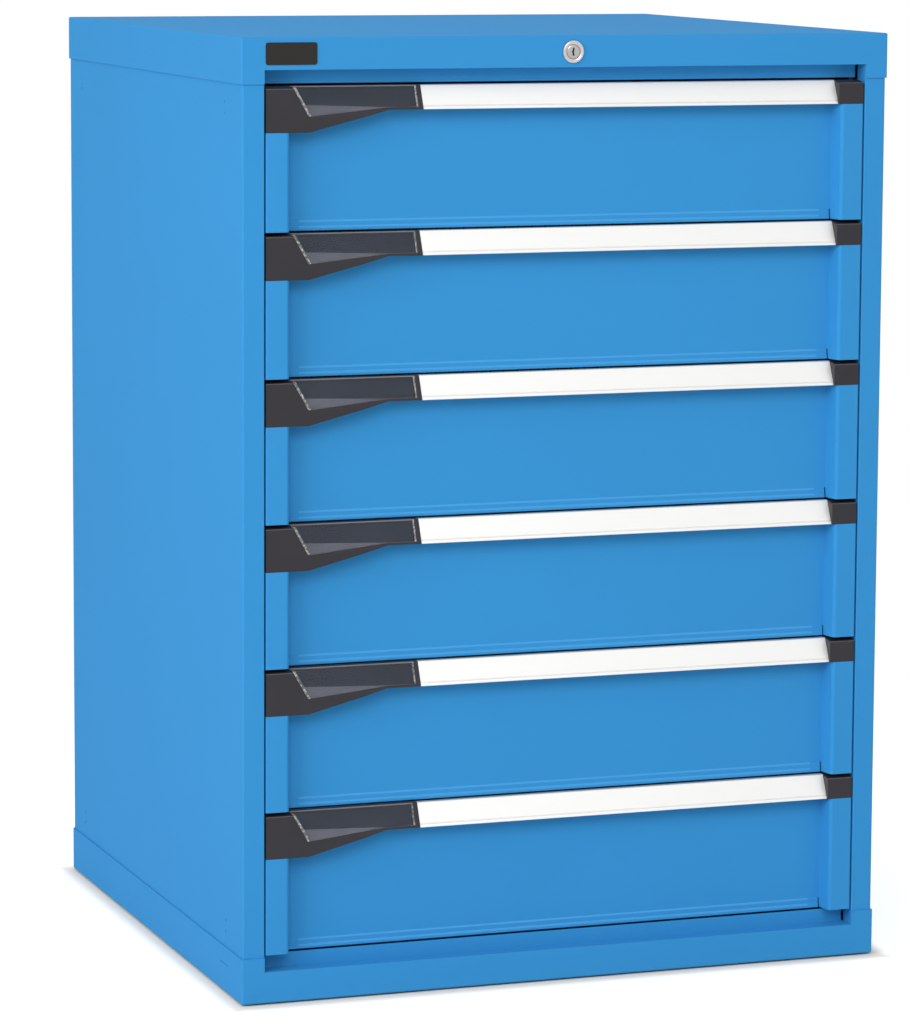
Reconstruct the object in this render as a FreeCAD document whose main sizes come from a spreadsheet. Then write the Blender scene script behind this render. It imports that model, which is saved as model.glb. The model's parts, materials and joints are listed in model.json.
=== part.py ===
"""Modular drawer cabinet: sheet-steel body, six equal drawers, central lock.

Frame: +Z up, +X to the right seen from the front, the fronts face -Y, and the
origin is on the floor in the middle of the plan. All sizes are in millimetres.
"""
import FreeCAD, Part
import math
import os
import Sketcher

SIZES = {
    # body
    "cabinet_width": 717.0,      # over the top cover and the base
    "cabinet_depth": 677.5,      # over the top cover and the base
    "cover_sheet": 1.5,          # sheet of the top cover and the base
    "cover_height": 47.5,        # skirt of the top cover beside the drawers
    "header_height": 33.0,       # skirt of the top cover above the drawers
    "base_height": 50.0,         # skirt of the base beside the drawers
    "plinth_height": 35.0,       # skirt of the base below the drawers, and its floor
    "base_flange": 25.0,         # inward flange that the base stands on
    "body_sheet": 1.2,           # sheet of the side panels and the rear panel
    "post_width": 25.0,          # front post, from the outer face to the opening
    "rear_fold": 20.0,           # fold at the rear edge of a side panel
    "corner_radius": 2.0,        # outer bends of the body
    "recess_depth": 20.0,        # from the posts back to the drawer panels
    "crossbar_gap": 3.5,         # slot between a crossbar and the post beside it
    # drawers
    "drawer_count": 6,
    "drawer_pitch": 150.0,       # height of one drawer and its gap
    "front_gap": 2.0,            # between two fronts
    "end_gap": 2.25,             # between the stack of drawers and the body
    "wing_gap": 1.7,             # between a front and the post beside it
    "front_sheet": 1.2,
    "wing_width": 25.0,          # flush strip at each side of a front
    "wing_flange": 18.0,         # outer return of a wing
    "wing_bend": 4.0,            # bend between a wing and the recess
    "return_lean": 3.0,          # how far the side of the recess leans inwards
    "band_height": 10.5,         # bent lower edge of the recessed panel
    "band_rise": 1.8,            # how far that edge comes forward
    "slit_width": 1.4,           # relief at each end of the bent edge
    # grip profile and its ends
    "grip_height": 25.0,
    "grip_wall": 2.2,
    "grip_top_setback": 14.0,    # upper edge of the sloping face, behind the wings
    "grip_foot_setback": 2.0,    # lower edge of the sloping face, behind the wings
    "grip_leg": 12.0,            # rear leg that is screwed to the panel
    "grip_lip": 3.6,             # lower lip, turned back
    "groove_height": 3.8,        # thin groove above the lower edge
    "groove_depth": 0.7,
    "holder_length": 170.0,      # label holder, from the left edge of the front
    "holder_drop": 47.0,         # height of its block
    "block_length": 46.0,
    "slope_end": 133.0,          # where its lower edge has risen to the grip
    "window_top_start": 28.0,    # sloping left edge of the window, at the top
    "window_foot_start": 45.5,   # and at the bottom
    "window_drop": 31.0,         # lower edge of the window at its left end
    "window_end_drop": 22.6,     # and at its right end
    "window_rim": 5.0,           # rim between the window and the grip
    "window_plate": 1.8,
    "end_cap_length": 28.3,
    "crown_drop": 2.3,           # top of the mouldings falls towards the front
    # tray
    "tray_sheet": 1.0,
    "tray_height": 118.0,
    "tray_lift": 6.0,            # tray bottom above the lower edge of the front
    "tray_hem": 5.0,             # outward hem along the tray sides
    "rear_space": 87.0,          # from the tray to the rear panel
    "catch_width": 20.0,
    "catch_reach": 25.0,
    "catch_drop": 18.0,
    "catch_sheet": 2.0,
    # runners and uprights
    "slide_width": 24.0,         # from the tray to the uprights
    "slide_height": 46.0,
    "slide_lift": 38.0,          # runner axis above the tray bottom
    "slide_sheet": 2.0,
    "slide_clearance": 0.3,
    "slide_setback": 4.0,        # runners start behind the panel face
    "slide_tail": 20.0,          # runners end behind the tray
    "slide_bend": 3.0,
    "upright_depth": 24.8,
    "upright_width": 40.0,
    "upright_sheet": 1.5,
    "upright_inset": 16.0,       # first upright behind the panel face
    "rear_upright_inset": 82.0,  # last upright before the rear panel
    "upright_slot_pitch": 50.0,
    "upright_slot_height": 22.0,
    "upright_slot_width": 6.0,
    # central locking
    "lock_drop": 17.0,           # lock axis below the top
    "lock_proud": 2.5,
    "lock_ring_radius": 11.75,
    "lock_barrel_radius": 9.5,
    "lock_barrel_length": 28.0,
    "plug_radius": 7.5,
    "plug_clearance": 0.08,
    "plug_recess": 0.6,
    "keyhole_width": 1.8,
    "keyhole_height": 8.0,
    "keyhole_depth": 8.0,
    "shaft_radius": 4.0,
    "cam_throw": 10.0,
    "cam_plate": 4.0,
    "cam_pin_radius": 2.5,
    "cam_pin_clearance": 0.5,
    "cam_pin_length": 8.0,
    "bar_sheet": 3.0,
    "bar_width": 20.0,
    "bar_setback": 16.0,         # from the bar to the rear panel
    "hook_length": 44.0,
    "hook_height": 14.0,
    "hook_width": 4.0,
    "hook_clearance": 3.0,       # between a resting hook and its catch
    "guide_height": 40.0,
    "guide_clearance": 0.3,
}

DRAWERS = int(SIZES["drawer_count"])
PARTS_FOLDER = "parts"
MARGIN = 5.0                     # how far a cut runs past the material

doc = FreeCAD.newDocument("drawer_cabinet")
sheet = doc.addObject("Spreadsheet::Sheet", "Sizes")


class Dim:
    """A length with its value and the spreadsheet expression that gives it."""

    def __init__(self, value, text):
        self.value = value
        self.text = text

    def __add__(self, other):
        other = as_dim(other)
        return Dim(self.value + other.value, "(%s + %s)" % (self.text, other.text))

    def __sub__(self, other):
        other = as_dim(other)
        return Dim(self.value - other.value, "(%s - %s)" % (self.text, other.text))

    def __mul__(self, other):
        other = as_dim(other)
        return Dim(self.value * other.value, "(%s * %s)" % (self.text, other.text))

    def __truediv__(self, other):
        other = as_dim(other)
        return Dim(self.value / other.value, "(%s / %s)" % (self.text, other.text))

    def __neg__(self):
        return Dim(-self.value, "(0 - %s)" % self.text)

    def __radd__(self, other):
        return as_dim(other) + self

    def __rsub__(self, other):
        return as_dim(other) - self

    def __rmul__(self, other):
        return as_dim(other) * self


def as_dim(number):
    """A plain number as a Dim."""
    if isinstance(number, Dim):
        return number
    return Dim(float(number), "%.9g" % number if number >= 0 else "(0 - %.9g)" % -number)


def fill_sheet():
    """Write every driving size into the spreadsheet, one row each."""
    for row, (name, value) in enumerate(SIZES.items(), start=1):
        sheet.set("A%d" % row, name)
        sheet.set("B%d" % row, repr(value))
        sheet.setAlias("B%d" % row, name)
    doc.recompute()


def size(name):
    """A driving size as a Dim bound to its cell."""
    return Dim(float(SIZES[name]), "Sizes.%s" % name)


fill_sheet()

# Planes and levels that several pieces share
half_width = size("cabinet_width") / 2
front_y = -(size("cabinet_depth") - size("lock_proud")) / 2
rear_y = front_y + size("cabinet_depth")
post_y = front_y + size("cover_sheet")
panel_y = post_y + size("recess_depth")
panel_back_y = panel_y + size("front_sheet")
fold_y = rear_y - size("cover_sheet")
rear_panel_y = fold_y - 2 * size("body_sheet")
side_x = half_width - size("cover_sheet")
side_inner_x = side_x - size("body_sheet")
opening_x = half_width - size("post_width")
crossbar_x = opening_x - size("crossbar_gap")

stack_z = size("base_height") + size("end_gap")
front_height = size("drawer_pitch") - size("front_gap")
stack_height = size("drawer_count") * size("drawer_pitch") - size("front_gap")
cover_z = stack_z + stack_height + size("end_gap")
top_z = cover_z + size("cover_height")
header_z = top_z - size("header_height")
ceiling_z = top_z - size("cover_sheet")

front_x = opening_x - size("wing_gap")
wing_x = front_x - size("wing_width")
recess_x = wing_x - size("return_lean")
upright_x = side_inner_x - size("upright_depth")
tray_x = upright_x - size("slide_width")
tray_end_y = rear_panel_y - size("rear_space")
slide_start_y = panel_y + size("slide_setback")
slide_end_y = tray_end_y + size("slide_tail")
slide_z = size("tray_lift") + size("slide_lift")

holder_x = -front_x + size("holder_length")
end_cap_x = front_x - size("end_cap_length")

lock_z = top_z - size("lock_drop")
lift = 2 * math.sin(math.radians(45)) * size("cam_throw")
bar_back_y = rear_panel_y - size("bar_setback")
bar_front_y = bar_back_y - size("bar_width")


def body(name):
    """A new body with its own label."""
    piece = doc.addObject("PartDesign::Body", name)
    piece.Label = name
    return piece


def set_size(piece, prop, length):
    """Bind a property of an object to the sheet."""
    piece.setExpression(prop, as_dim(length).text)


def rectangle(x_low, x_high, y_low, y_high):
    """The four corners of an upright rectangle."""
    return [(x_low, y_low), (x_high, y_low), (x_high, y_high), (x_low, y_high)]


def draw_outline(sketch, corners):
    """Add one closed outline whose corners are bound to the sheet."""
    corners = [(as_dim(x), as_dim(y)) for x, y in corners]
    points = [FreeCAD.Vector(x.value, y.value, 0) for x, y in corners]
    first = sketch.GeometryCount
    count = len(points)
    lines = [Part.LineSegment(points[i], points[(i + 1) % count]) for i in range(count)]
    sketch.addGeometry(lines, False)
    for i in range(count):
        joint = Sketcher.Constraint("Coincident", first + i, 2, first + (i + 1) % count, 1)
        sketch.addConstraint(joint)
    for i, (x, y) in enumerate(corners):
        bind(sketch, "DistanceX", first + i, 1, x)
        bind(sketch, "DistanceY", first + i, 1, y)


def bind(sketch, kind, edge, end, length):
    """Hold a point at a distance from the sketch's origin that the sheet gives."""
    index = sketch.addConstraint(Sketcher.Constraint(kind, -1, 1, edge, end, length.value))
    sketch.setExpression("Constraints[%d]" % index, length.text)


def draw_circle(sketch, x, y, radius):
    """Add one circle whose centre and radius are bound to the sheet."""
    x = as_dim(x)
    y = as_dim(y)
    radius = as_dim(radius)
    centre = FreeCAD.Vector(x.value, y.value, 0)
    axis = FreeCAD.Vector(0, 0, 1)
    edge = sketch.addGeometry(Part.Circle(centre, axis, radius.value), False)
    bind(sketch, "DistanceX", edge, 3, x)
    bind(sketch, "DistanceY", edge, 3, y)
    index = sketch.addConstraint(Sketcher.Constraint("Radius", edge, radius.value))
    sketch.setExpression("Constraints[%d]" % index, radius.text)


def draw_slot(sketch, x, y, half_long, radius):
    """Add one level slot with round ends: half_long is from its centre to an arc's centre."""
    x, y, half_long, radius = as_dim(x), as_dim(y), as_dim(half_long), as_dim(radius)
    first = sketch.GeometryCount
    up = FreeCAD.Vector(0, 0, 1)
    left = FreeCAD.Vector(x.value - half_long.value, y.value, 0)
    right = FreeCAD.Vector(x.value + half_long.value, y.value, 0)
    rise = FreeCAD.Vector(0, radius.value, 0)
    quarter = math.pi / 2
    sketch.addGeometry([
        Part.ArcOfCircle(Part.Circle(left, up, radius.value), quarter, 3 * quarter),
        Part.LineSegment(left - rise, right - rise),
        Part.ArcOfCircle(Part.Circle(right, up, radius.value), -quarter, quarter),
        Part.LineSegment(right + rise, left + rise),
    ], False)
    sketch.addConstraint([
        Sketcher.Constraint("Tangent", first, 2, first + 1, 1),
        Sketcher.Constraint("Tangent", first + 1, 2, first + 2, 1),
        Sketcher.Constraint("Tangent", first + 2, 2, first + 3, 1),
        Sketcher.Constraint("Tangent", first + 3, 2, first, 1),
    ])
    bind(sketch, "DistanceX", first, 3, x - half_long)
    bind(sketch, "DistanceY", first, 3, y)
    bind(sketch, "DistanceX", first + 2, 3, x + half_long)
    bind(sketch, "DistanceY", first + 2, 3, y)
    index = sketch.addConstraint(Sketcher.Constraint("Radius", first, radius.value))
    sketch.setExpression("Constraints[%d]" % index, radius.text)


def new_sketch(holder, plane, level):
    """A sketch on one of the body's own origin planes, moved to a level along its axis."""
    sketch = holder.newObject("Sketcher::SketchObject", "%s_section" % holder.Name)
    planes = [item for item in holder.Origin.OriginFeatures if item.Role == "%s_Plane" % plane]
    sketch.AttachmentSupport = (planes[0], [""])
    sketch.MapMode = "FlatFace"
    level = as_dim(level)
    if plane == "XZ":
        level = -level
    sketch.setExpression("AttachmentOffset.Base.z", level.text)
    return sketch


def draw(sketch, outlines):
    """Draw corner lists, (x, y, radius) circles and (x, y, half_long, radius) slots."""
    for outline in outlines:
        if isinstance(outline, list):
            draw_outline(sketch, outline)
        elif len(outline) == 3:
            draw_circle(sketch, *outline)
        else:
            draw_slot(sketch, *outline)


def pad(holder, plane, low, high, *outlines):
    """Add material between two levels along the axis square to the plane."""
    start = high if plane == "XZ" else low
    sketch = new_sketch(holder, plane, start)
    draw(sketch, outlines)
    feature = holder.newObject("PartDesign::Pad", "%s_pad" % holder.Name)
    feature.Profile = sketch
    set_size(feature, "Length", as_dim(high) - as_dim(low))
    return feature


def pocket(holder, plane, low, high, *outlines):
    """Remove material between two levels along the axis square to the plane."""
    start = low if plane == "XZ" else high
    sketch = new_sketch(holder, plane, start)
    draw(sketch, outlines)
    feature = holder.newObject("PartDesign::Pocket", "%s_cut" % holder.Name)
    feature.Profile = sketch
    set_size(feature, "Length", as_dim(high) - as_dim(low))
    return feature


def lies_at(edge, x=None, y=None, z=None):
    """Whether both ends of an edge have the given coordinates."""
    near = 0.01
    for vertex in edge.Vertexes:
        place = (vertex.X, vertex.Y, vertex.Z)
        for value, wanted in zip(place, (x, y, z)):
            if wanted is not None and abs(value - as_dim(wanted).value) > near:
                return False
    return True


def edges_at(holder, places):
    """The last feature of the body with its edges that lie at any of the given places."""
    doc.recompute()
    base = holder.Tip
    names = []
    for number, edge in enumerate(base.Shape.Edges, start=1):
        if any(lies_at(edge, *place) for place in places):
            names.append("Edge%d" % number)
    if not names:
        raise RuntimeError("%s: no edge at the given places" % holder.Label)
    return base, names


def fillet(holder, radius, places):
    """Round the edges of the body that lie at any of the given places."""
    base = edges_at(holder, places)
    feature = holder.newObject("PartDesign::Fillet", "%s_round" % holder.Name)
    feature.Base = base
    set_size(feature, "Radius", radius)
    return feature


def chamfer(holder, width, places):
    """Bevel the edges of the body that lie at any of the given places."""
    base = edges_at(holder, places)
    feature = holder.newObject("PartDesign::Chamfer", "%s_bevel" % holder.Name)
    feature.Base = base
    set_size(feature, "Size", width)
    return feature


def mirrored(source, name):
    """The same piece for the other side of the cabinet."""
    twin = doc.addObject("Part::Mirroring", name)
    twin.Label = name
    twin.Source = source
    twin.Normal = FreeCAD.Vector(1, 0, 0)
    return twin


def group(name, pieces):
    """Several solids as one sub-part."""
    bundle = doc.addObject("Part::Compound", name)
    bundle.Label = name
    bundle.Links = pieces
    return bundle


def stack_place(number):
    """Height of the lower edge of a front, counted from 1 at the top."""
    return stack_z + (size("drawer_count") - number) * size("drawer_pitch")


def in_stack(form, name, number):
    """A sub-part of one drawer, from its form and its place in the stack."""
    copy = group(name, [form])
    set_size(copy, "Placement.Base.z", stack_place(number))
    return copy


def make_top_cover():
    """Folded lid: plate, skirts, header with lock hole, inner crossbar, shaft bracket."""
    piece = body("top_cover")
    wall = size("cover_sheet")
    pad(piece, "XY", cover_z, top_z, rectangle(-half_width, half_width, front_y, rear_y))
    corners = [(x, y) for x in (-half_width, half_width) for y in (front_y, rear_y)]
    fillet(piece, size("corner_radius"), corners)
    fillet(piece, size("corner_radius"), [(None, None, top_z)])
    pocket(piece, "XY", cover_z - MARGIN, ceiling_z,
           rectangle(wall - half_width, half_width - wall, post_y, fold_y))
    pocket(piece, "XZ", front_y - MARGIN, post_y,
           rectangle(-opening_x, opening_x, cover_z - MARGIN, header_z))
    back = panel_y - wall
    pad(piece, "YZ", -crossbar_x, crossbar_x,
        [(post_y, header_z), (back, header_z), (back, cover_z), (panel_y, cover_z),
         (panel_y, header_z + wall), (post_y, header_z + wall)])
    pocket(piece, "XZ", front_y - MARGIN, post_y,
           (0, lock_z, size("lock_barrel_radius") + size("plug_clearance")))
    bracket_y = bar_front_y - size("bar_width")
    half_bracket = 2 * size("lock_ring_radius")
    pad(piece, "XZ", bracket_y, bracket_y + 2 * wall,
        rectangle(-half_bracket, half_bracket, lock_z - size("lock_ring_radius"), ceiling_z),
        (0, lock_z, size("shaft_radius") + size("plug_clearance")))
    return piece


def make_base():
    """Folded plinth: skirts, floor plate, foot flange, front notch and upstand."""
    piece = body("base")
    wall = size("cover_sheet")
    floor_z = size("plinth_height")
    skirt_top = size("base_height")
    inner_x = half_width - wall
    pad(piece, "XY", 0, skirt_top, rectangle(-half_width, half_width, front_y, rear_y))
    corners = [(x, y) for x in (-half_width, half_width) for y in (front_y, rear_y)]
    fillet(piece, size("corner_radius"), corners)
    pocket(piece, "XY", floor_z, skirt_top + MARGIN, rectangle(-inner_x, inner_x, post_y, fold_y))
    pocket(piece, "XY", wall, floor_z - wall, rectangle(-inner_x, inner_x, post_y, fold_y))
    foot = size("base_flange")
    pocket(piece, "XY", -MARGIN, wall + wall,
           rectangle(foot - half_width, half_width - foot, front_y + foot, rear_y - foot))
    pocket(piece, "XZ", front_y - MARGIN, post_y,
           rectangle(-opening_x, opening_x, floor_z, skirt_top + MARGIN))
    pad(piece, "XY", floor_z - wall, skirt_top,
        rectangle(-crossbar_x, crossbar_x, panel_y - wall, panel_y))
    return piece


def make_side_panel():
    """Left side: one sheet folded into the side, the front post and the rear fold."""
    piece = body("left_side_panel")
    wall = size("body_sheet")
    post_back = post_y + size("recess_depth")
    fold_x = side_x - size("rear_fold")
    pad(piece, "XY", size("plinth_height"), ceiling_z,
        [(-opening_x, post_back), (-opening_x, post_y), (-side_x, post_y), (-side_x, fold_y),
         (-fold_x, fold_y), (-fold_x, fold_y - wall), (-side_inner_x, fold_y - wall),
         (-side_inner_x, post_y + wall), (-opening_x - wall, post_y + wall),
         (-opening_x - wall, post_back)])
    fillet(piece, size("corner_radius"), [(-side_x, post_y), (-side_x, fold_y)])
    fillet(piece, size("body_sheet") * 0.8, [(-opening_x, post_y)])
    return piece


def make_rear_panel():
    """Plain rear sheet with two pairs of ears that guide the locking bar."""
    piece = body("rear_panel")
    wall = size("body_sheet")
    pad(piece, "XZ", rear_panel_y, rear_panel_y + wall,
        rectangle(-side_inner_x, side_inner_x, size("plinth_height"), ceiling_z))
    near = size("bar_sheet") / 2 + size("guide_clearance")
    far = near + size("cover_sheet")
    ear_y = bar_front_y + size("guide_clearance")
    for level in (stack_place(DRAWERS) + size("drawer_pitch") * 0.75,
                  stack_place(1) + size("drawer_pitch") * 0.25):
        ear_top = level + size("guide_height")
        pad(piece, "XY", level, ear_top,
            rectangle(near, far, ear_y, rear_panel_y),
            rectangle(-far, -near, ear_y, rear_panel_y))
    return piece


def make_upright():
    """Channel with a column of slots that the runners hook into, at the left front."""
    piece = body("upright_form")
    wall = size("upright_sheet")
    near_y = panel_y + size("upright_inset")
    far_y = near_y + size("upright_width")
    low = size("plinth_height")
    pad(piece, "XY", low, ceiling_z,
        [(-side_inner_x, near_y), (-upright_x, near_y), (-upright_x, far_y),
         (-side_inner_x, far_y), (-side_inner_x, far_y - wall), (-upright_x - wall, far_y - wall),
         (-upright_x - wall, near_y + wall), (-side_inner_x, near_y + wall)])
    middle = (near_y + far_y) / 2
    half_slot = size("upright_slot_width") / 2
    first = stack_z + size("tray_lift") - half_slot
    cut = pocket(piece, "YZ", -upright_x - wall - MARGIN, -upright_x + MARGIN,
                 rectangle(middle - half_slot, middle + half_slot, first,
                           first + size("upright_slot_height")))
    copies = int((top_z.value - 2 * size("cover_height").value - first.value)
                 / SIZES["upright_slot_pitch"]) + 1
    pattern = piece.newObject("PartDesign::LinearPattern", "upright_slots")
    pattern.Originals = [cut]
    vertical = [item for item in piece.Origin.OriginFeatures if item.Role == "Z_Axis"]
    pattern.Direction = (vertical[0], [""])
    pattern.Occurrences = copies
    set_size(pattern, "Length", size("upright_slot_pitch") * (copies - 1))
    piece.Tip = pattern
    return piece


def channel_outline(web_x, tip_x, sign, half_height, wall):
    """Section of a runner channel: web at web_x, flanges to tip_x. The sign is web to tip."""
    inside = web_x + sign * wall
    return [(web_x, slide_z - half_height), (tip_x, slide_z - half_height),
            (tip_x, slide_z - half_height + wall), (inside, slide_z - half_height + wall),
            (inside, slide_z + half_height - wall), (tip_x, slide_z + half_height - wall),
            (tip_x, slide_z + half_height), (web_x, slide_z + half_height)]


def make_outer_rail():
    """Fixed runner member at the right: channel open towards the drawer."""
    piece = body("outer_rail_form")
    half = size("slide_height") / 2
    tip_x = tray_x + size("slide_width") / 2 + size("slide_clearance")
    pad(piece, "XZ", slide_start_y, slide_end_y,
        channel_outline(upright_x, tip_x, -1, half, size("slide_sheet")))
    edges = [(upright_x, None, slide_z - half), (upright_x, None, slide_z + half)]
    fillet(piece, size("slide_bend"), edges)
    return piece


def make_inner_rail():
    """Runner member on the tray at the right: channel open towards the cabinet side."""
    piece = body("inner_rail_form")
    half = size("slide_height") / 2
    tip_x = tray_x + size("slide_width") / 2 - size("slide_clearance")
    pad(piece, "XZ", slide_start_y, tray_end_y,
        channel_outline(tray_x, tip_x, 1, half, size("slide_sheet")))
    edges = [(tray_x, None, slide_z - half), (tray_x, None, slide_z + half)]
    fillet(piece, size("slide_bend"), edges)
    return piece


def make_mid_rail():
    """Middle runner member at the right: an I section that both channels ride on."""
    piece = body("mid_rail_form")
    wall = size("slide_sheet")
    play = size("slide_clearance")
    half = size("slide_height") / 2 - wall - play
    left = tray_x + wall + play
    right = upright_x - wall - play
    middle = tray_x + size("slide_width") / 2
    web_left = middle - wall / 2
    web_right = middle + wall / 2
    low, high = slide_z - half, slide_z + half
    pad(piece, "XZ", slide_start_y, slide_end_y,
        [(left, low), (right, low), (right, low + wall), (web_right, low + wall),
         (web_right, high - wall), (right, high - wall), (right, high), (left, high),
         (left, high - wall), (web_left, high - wall), (web_left, low + wall),
         (left, low + wall)])
    bevel = size("slide_bend") - wall + play
    chamfer(piece, bevel, [(x, None, z) for x in (left, right) for z in (low, high)])
    return piece


def make_front():
    """Front sheet: flanged wings flush with the posts and a recessed panel between."""
    piece = body("front_form")
    wall = size("front_sheet")
    flange_y = post_y + size("wing_flange")
    right_side = [
        (recess_x, panel_y), (wing_x, post_y), (front_x, post_y), (front_x, flange_y),
        (front_x - wall, flange_y), (front_x - wall, post_y + wall),
        (wing_x + wall, post_y + wall), (recess_x + wall, panel_back_y)]
    left_side = [(-x, y) for x, y in reversed(right_side)]
    pad(piece, "XY", 0, front_height, right_side + left_side)
    bend = size("wing_bend")
    inner_bend = [(x, post_y + wall) for x in (wing_x + wall, -wing_x - wall)]
    fillet(piece, bend - wall, inner_bend)
    fillet(piece, bend, [(wing_x, post_y), (-wing_x, post_y)])
    fillet(piece, size("corner_radius") * 0.75, [(front_x, post_y), (-front_x, post_y)])
    # room for the two mouldings of the grip, in front of the panel
    holder_z = front_height - size("holder_drop")
    cap_z = front_height - size("grip_height")
    pocket(piece, "XZ", post_y - MARGIN, panel_y + MARGIN,
           rectangle(-front_x - MARGIN, -recess_x, holder_z, front_height + MARGIN))
    pocket(piece, "XZ", post_y - MARGIN, panel_y + MARGIN,
           rectangle(recess_x, front_x + MARGIN, cap_z, front_height + MARGIN))
    # lower edge of the panel, bent forward between two relief slits
    band_z = size("band_height")
    band_x = recess_x - size("slit_width")
    pocket(piece, "XZ", panel_y - MARGIN, panel_y + MARGIN,
           rectangle(-recess_x, recess_x, -MARGIN, band_z))
    rise = size("band_rise")
    pad(piece, "YZ", -band_x, band_x,
        [(panel_y, band_z), (panel_y - rise, 0), (panel_back_y - rise, 0),
         (panel_back_y, band_z)])
    return piece


def make_tray():
    """Tray of five welded sheets: bottom, two hemmed sides, front wall, rear wall with catch."""
    wall = size("tray_sheet")
    low = size("tray_lift")
    floor = low + wall
    high = low + size("tray_height")
    hem_x = tray_x + size("tray_hem")
    inner_x = tray_x - wall
    bottom = body("tray_bottom")
    pad(bottom, "XY", low, floor, rectangle(-tray_x, tray_x, panel_back_y, tray_end_y))
    side = body("tray_right_side")
    pad(side, "XZ", panel_back_y, tray_end_y,
        [(inner_x, floor), (tray_x, floor), (tray_x, high - wall), (hem_x, high - wall),
         (hem_x, high), (inner_x, high)])
    front_wall = body("tray_front_wall")
    pad(front_wall, "XY", floor, high,
        rectangle(-inner_x, inner_x, panel_back_y, panel_back_y + wall))
    rear_wall = body("tray_rear_wall")
    pad(rear_wall, "XY", floor, high,
        rectangle(-inner_x, inner_x, tray_end_y - wall, tray_end_y))
    strip = size("catch_sheet")
    reach_y = tray_end_y + size("catch_reach")
    catch_z = high - strip
    drop_z = catch_z - size("catch_drop")
    half_catch = size("catch_width") / 2
    pad(rear_wall, "YZ", -half_catch, half_catch,
        [(tray_end_y - wall, catch_z - strip), (reach_y - strip, catch_z - strip),
         (reach_y - strip, drop_z), (reach_y, drop_z), (reach_y, catch_z),
         (tray_end_y - wall, catch_z)])
    sides = [side, mirrored(side, "tray_left_side")]
    return group("tray_form", [bottom, front_wall, rear_wall] + sides)


def slope_y(height):
    """Outer face of the sloping grip, at a height below the upper edge of the front."""
    top_y = post_y + size("grip_top_setback")
    foot_y = post_y + size("grip_foot_setback")
    return top_y - (top_y - foot_y) * height / size("grip_height")


def make_handle():
    """Extruded grip: rear leg, top, sloping face with a groove, and a turned-back lip."""
    piece = body("handle_form")
    wall = size("grip_wall")
    top = front_height
    foot = front_height - size("grip_height")
    groove = size("groove_height")
    groove_z = foot + groove
    groove_half = size("groove_depth")
    lip_y = slope_y(size("grip_height")) + size("grip_lip") + wall
    inner_top = slope_y(wall) + wall * 1.1
    inner_foot = slope_y(size("grip_height") - wall) + wall * 1.1
    pad(piece, "YZ", holder_x, end_cap_x,
        [(panel_y, top), (slope_y(0), top),
         (slope_y(size("grip_height") - groove - groove_half), groove_z + groove_half),
         (slope_y(size("grip_height") - groove) + groove_half, groove_z),
         (slope_y(size("grip_height") - groove + groove_half), groove_z - groove_half),
         (slope_y(size("grip_height")), foot), (lip_y, foot), (lip_y, foot + wall),
         (inner_foot, foot + wall), (inner_top, top - wall), (panel_y - wall, top - wall),
         (panel_y - wall, top - size("grip_leg")), (panel_y, top - size("grip_leg"))])
    fillet(piece, wall * 0.8, [(None, slope_y(0), top)])
    fillet(piece, wall * 0.35, [(None, slope_y(size("grip_height")), foot)])
    return piece


def extrusion(name, plane, low, high, corners):
    """A solid prism from a sketch of its own, for the shapes that are combined below."""
    piece = body(name)
    pad(piece, plane, low, high, corners)
    return piece


def combine(kind, name, base, tool):
    """A boolean of two solids."""
    result = doc.addObject("Part::%s" % kind, name)
    result.Label = name
    result.Base = base
    result.Tool = tool
    return result


def window_plane(depth):
    """Two points of the window's sloping plane, moved back by a depth, as (y, z)."""
    top_y = post_y + size("grip_top_setback") + depth
    foot_y = post_y + depth
    return (top_y, front_height), (foot_y, front_height - size("window_drop") - 1)


def in_front_of(name, depth):
    """All space in front of the window's plane, moved back by a depth."""
    (top_y, top), (foot_y, foot) = window_plane(depth)
    run = (top_y - foot_y) / (top - foot)
    over = top + MARGIN
    return extrusion(name, "YZ", -front_x - MARGIN, holder_x + MARGIN,
                     [(top_y + run * MARGIN, over), (foot_y - MARGIN, over),
                      (foot_y - MARGIN, foot - MARGIN), (foot_y - run * MARGIN, foot - MARGIN)])


def window_outline(right):
    """Front view of the window, as far as a right edge."""
    left = -front_x
    over = front_height + MARGIN
    lean = (size("window_foot_start") - size("window_top_start")) / size("window_drop")
    return [(left + size("window_top_start") - lean * MARGIN, over),
            (left + size("window_foot_start"), front_height - size("window_drop")),
            (left + size("slope_end"), front_height - size("window_end_drop")),
            (right, front_height - size("window_end_drop")), (right, over)]


def crown_outline(low):
    """Side view of a moulded end of the grip, as (y, z)."""
    crown = size("crown_drop")
    return [(panel_y, front_height), (slope_y(0), front_height),
            (post_y + crown / 3, front_height - crown), (post_y, front_height - crown * 1.35),
            (post_y, low), (panel_y, low)]


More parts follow.
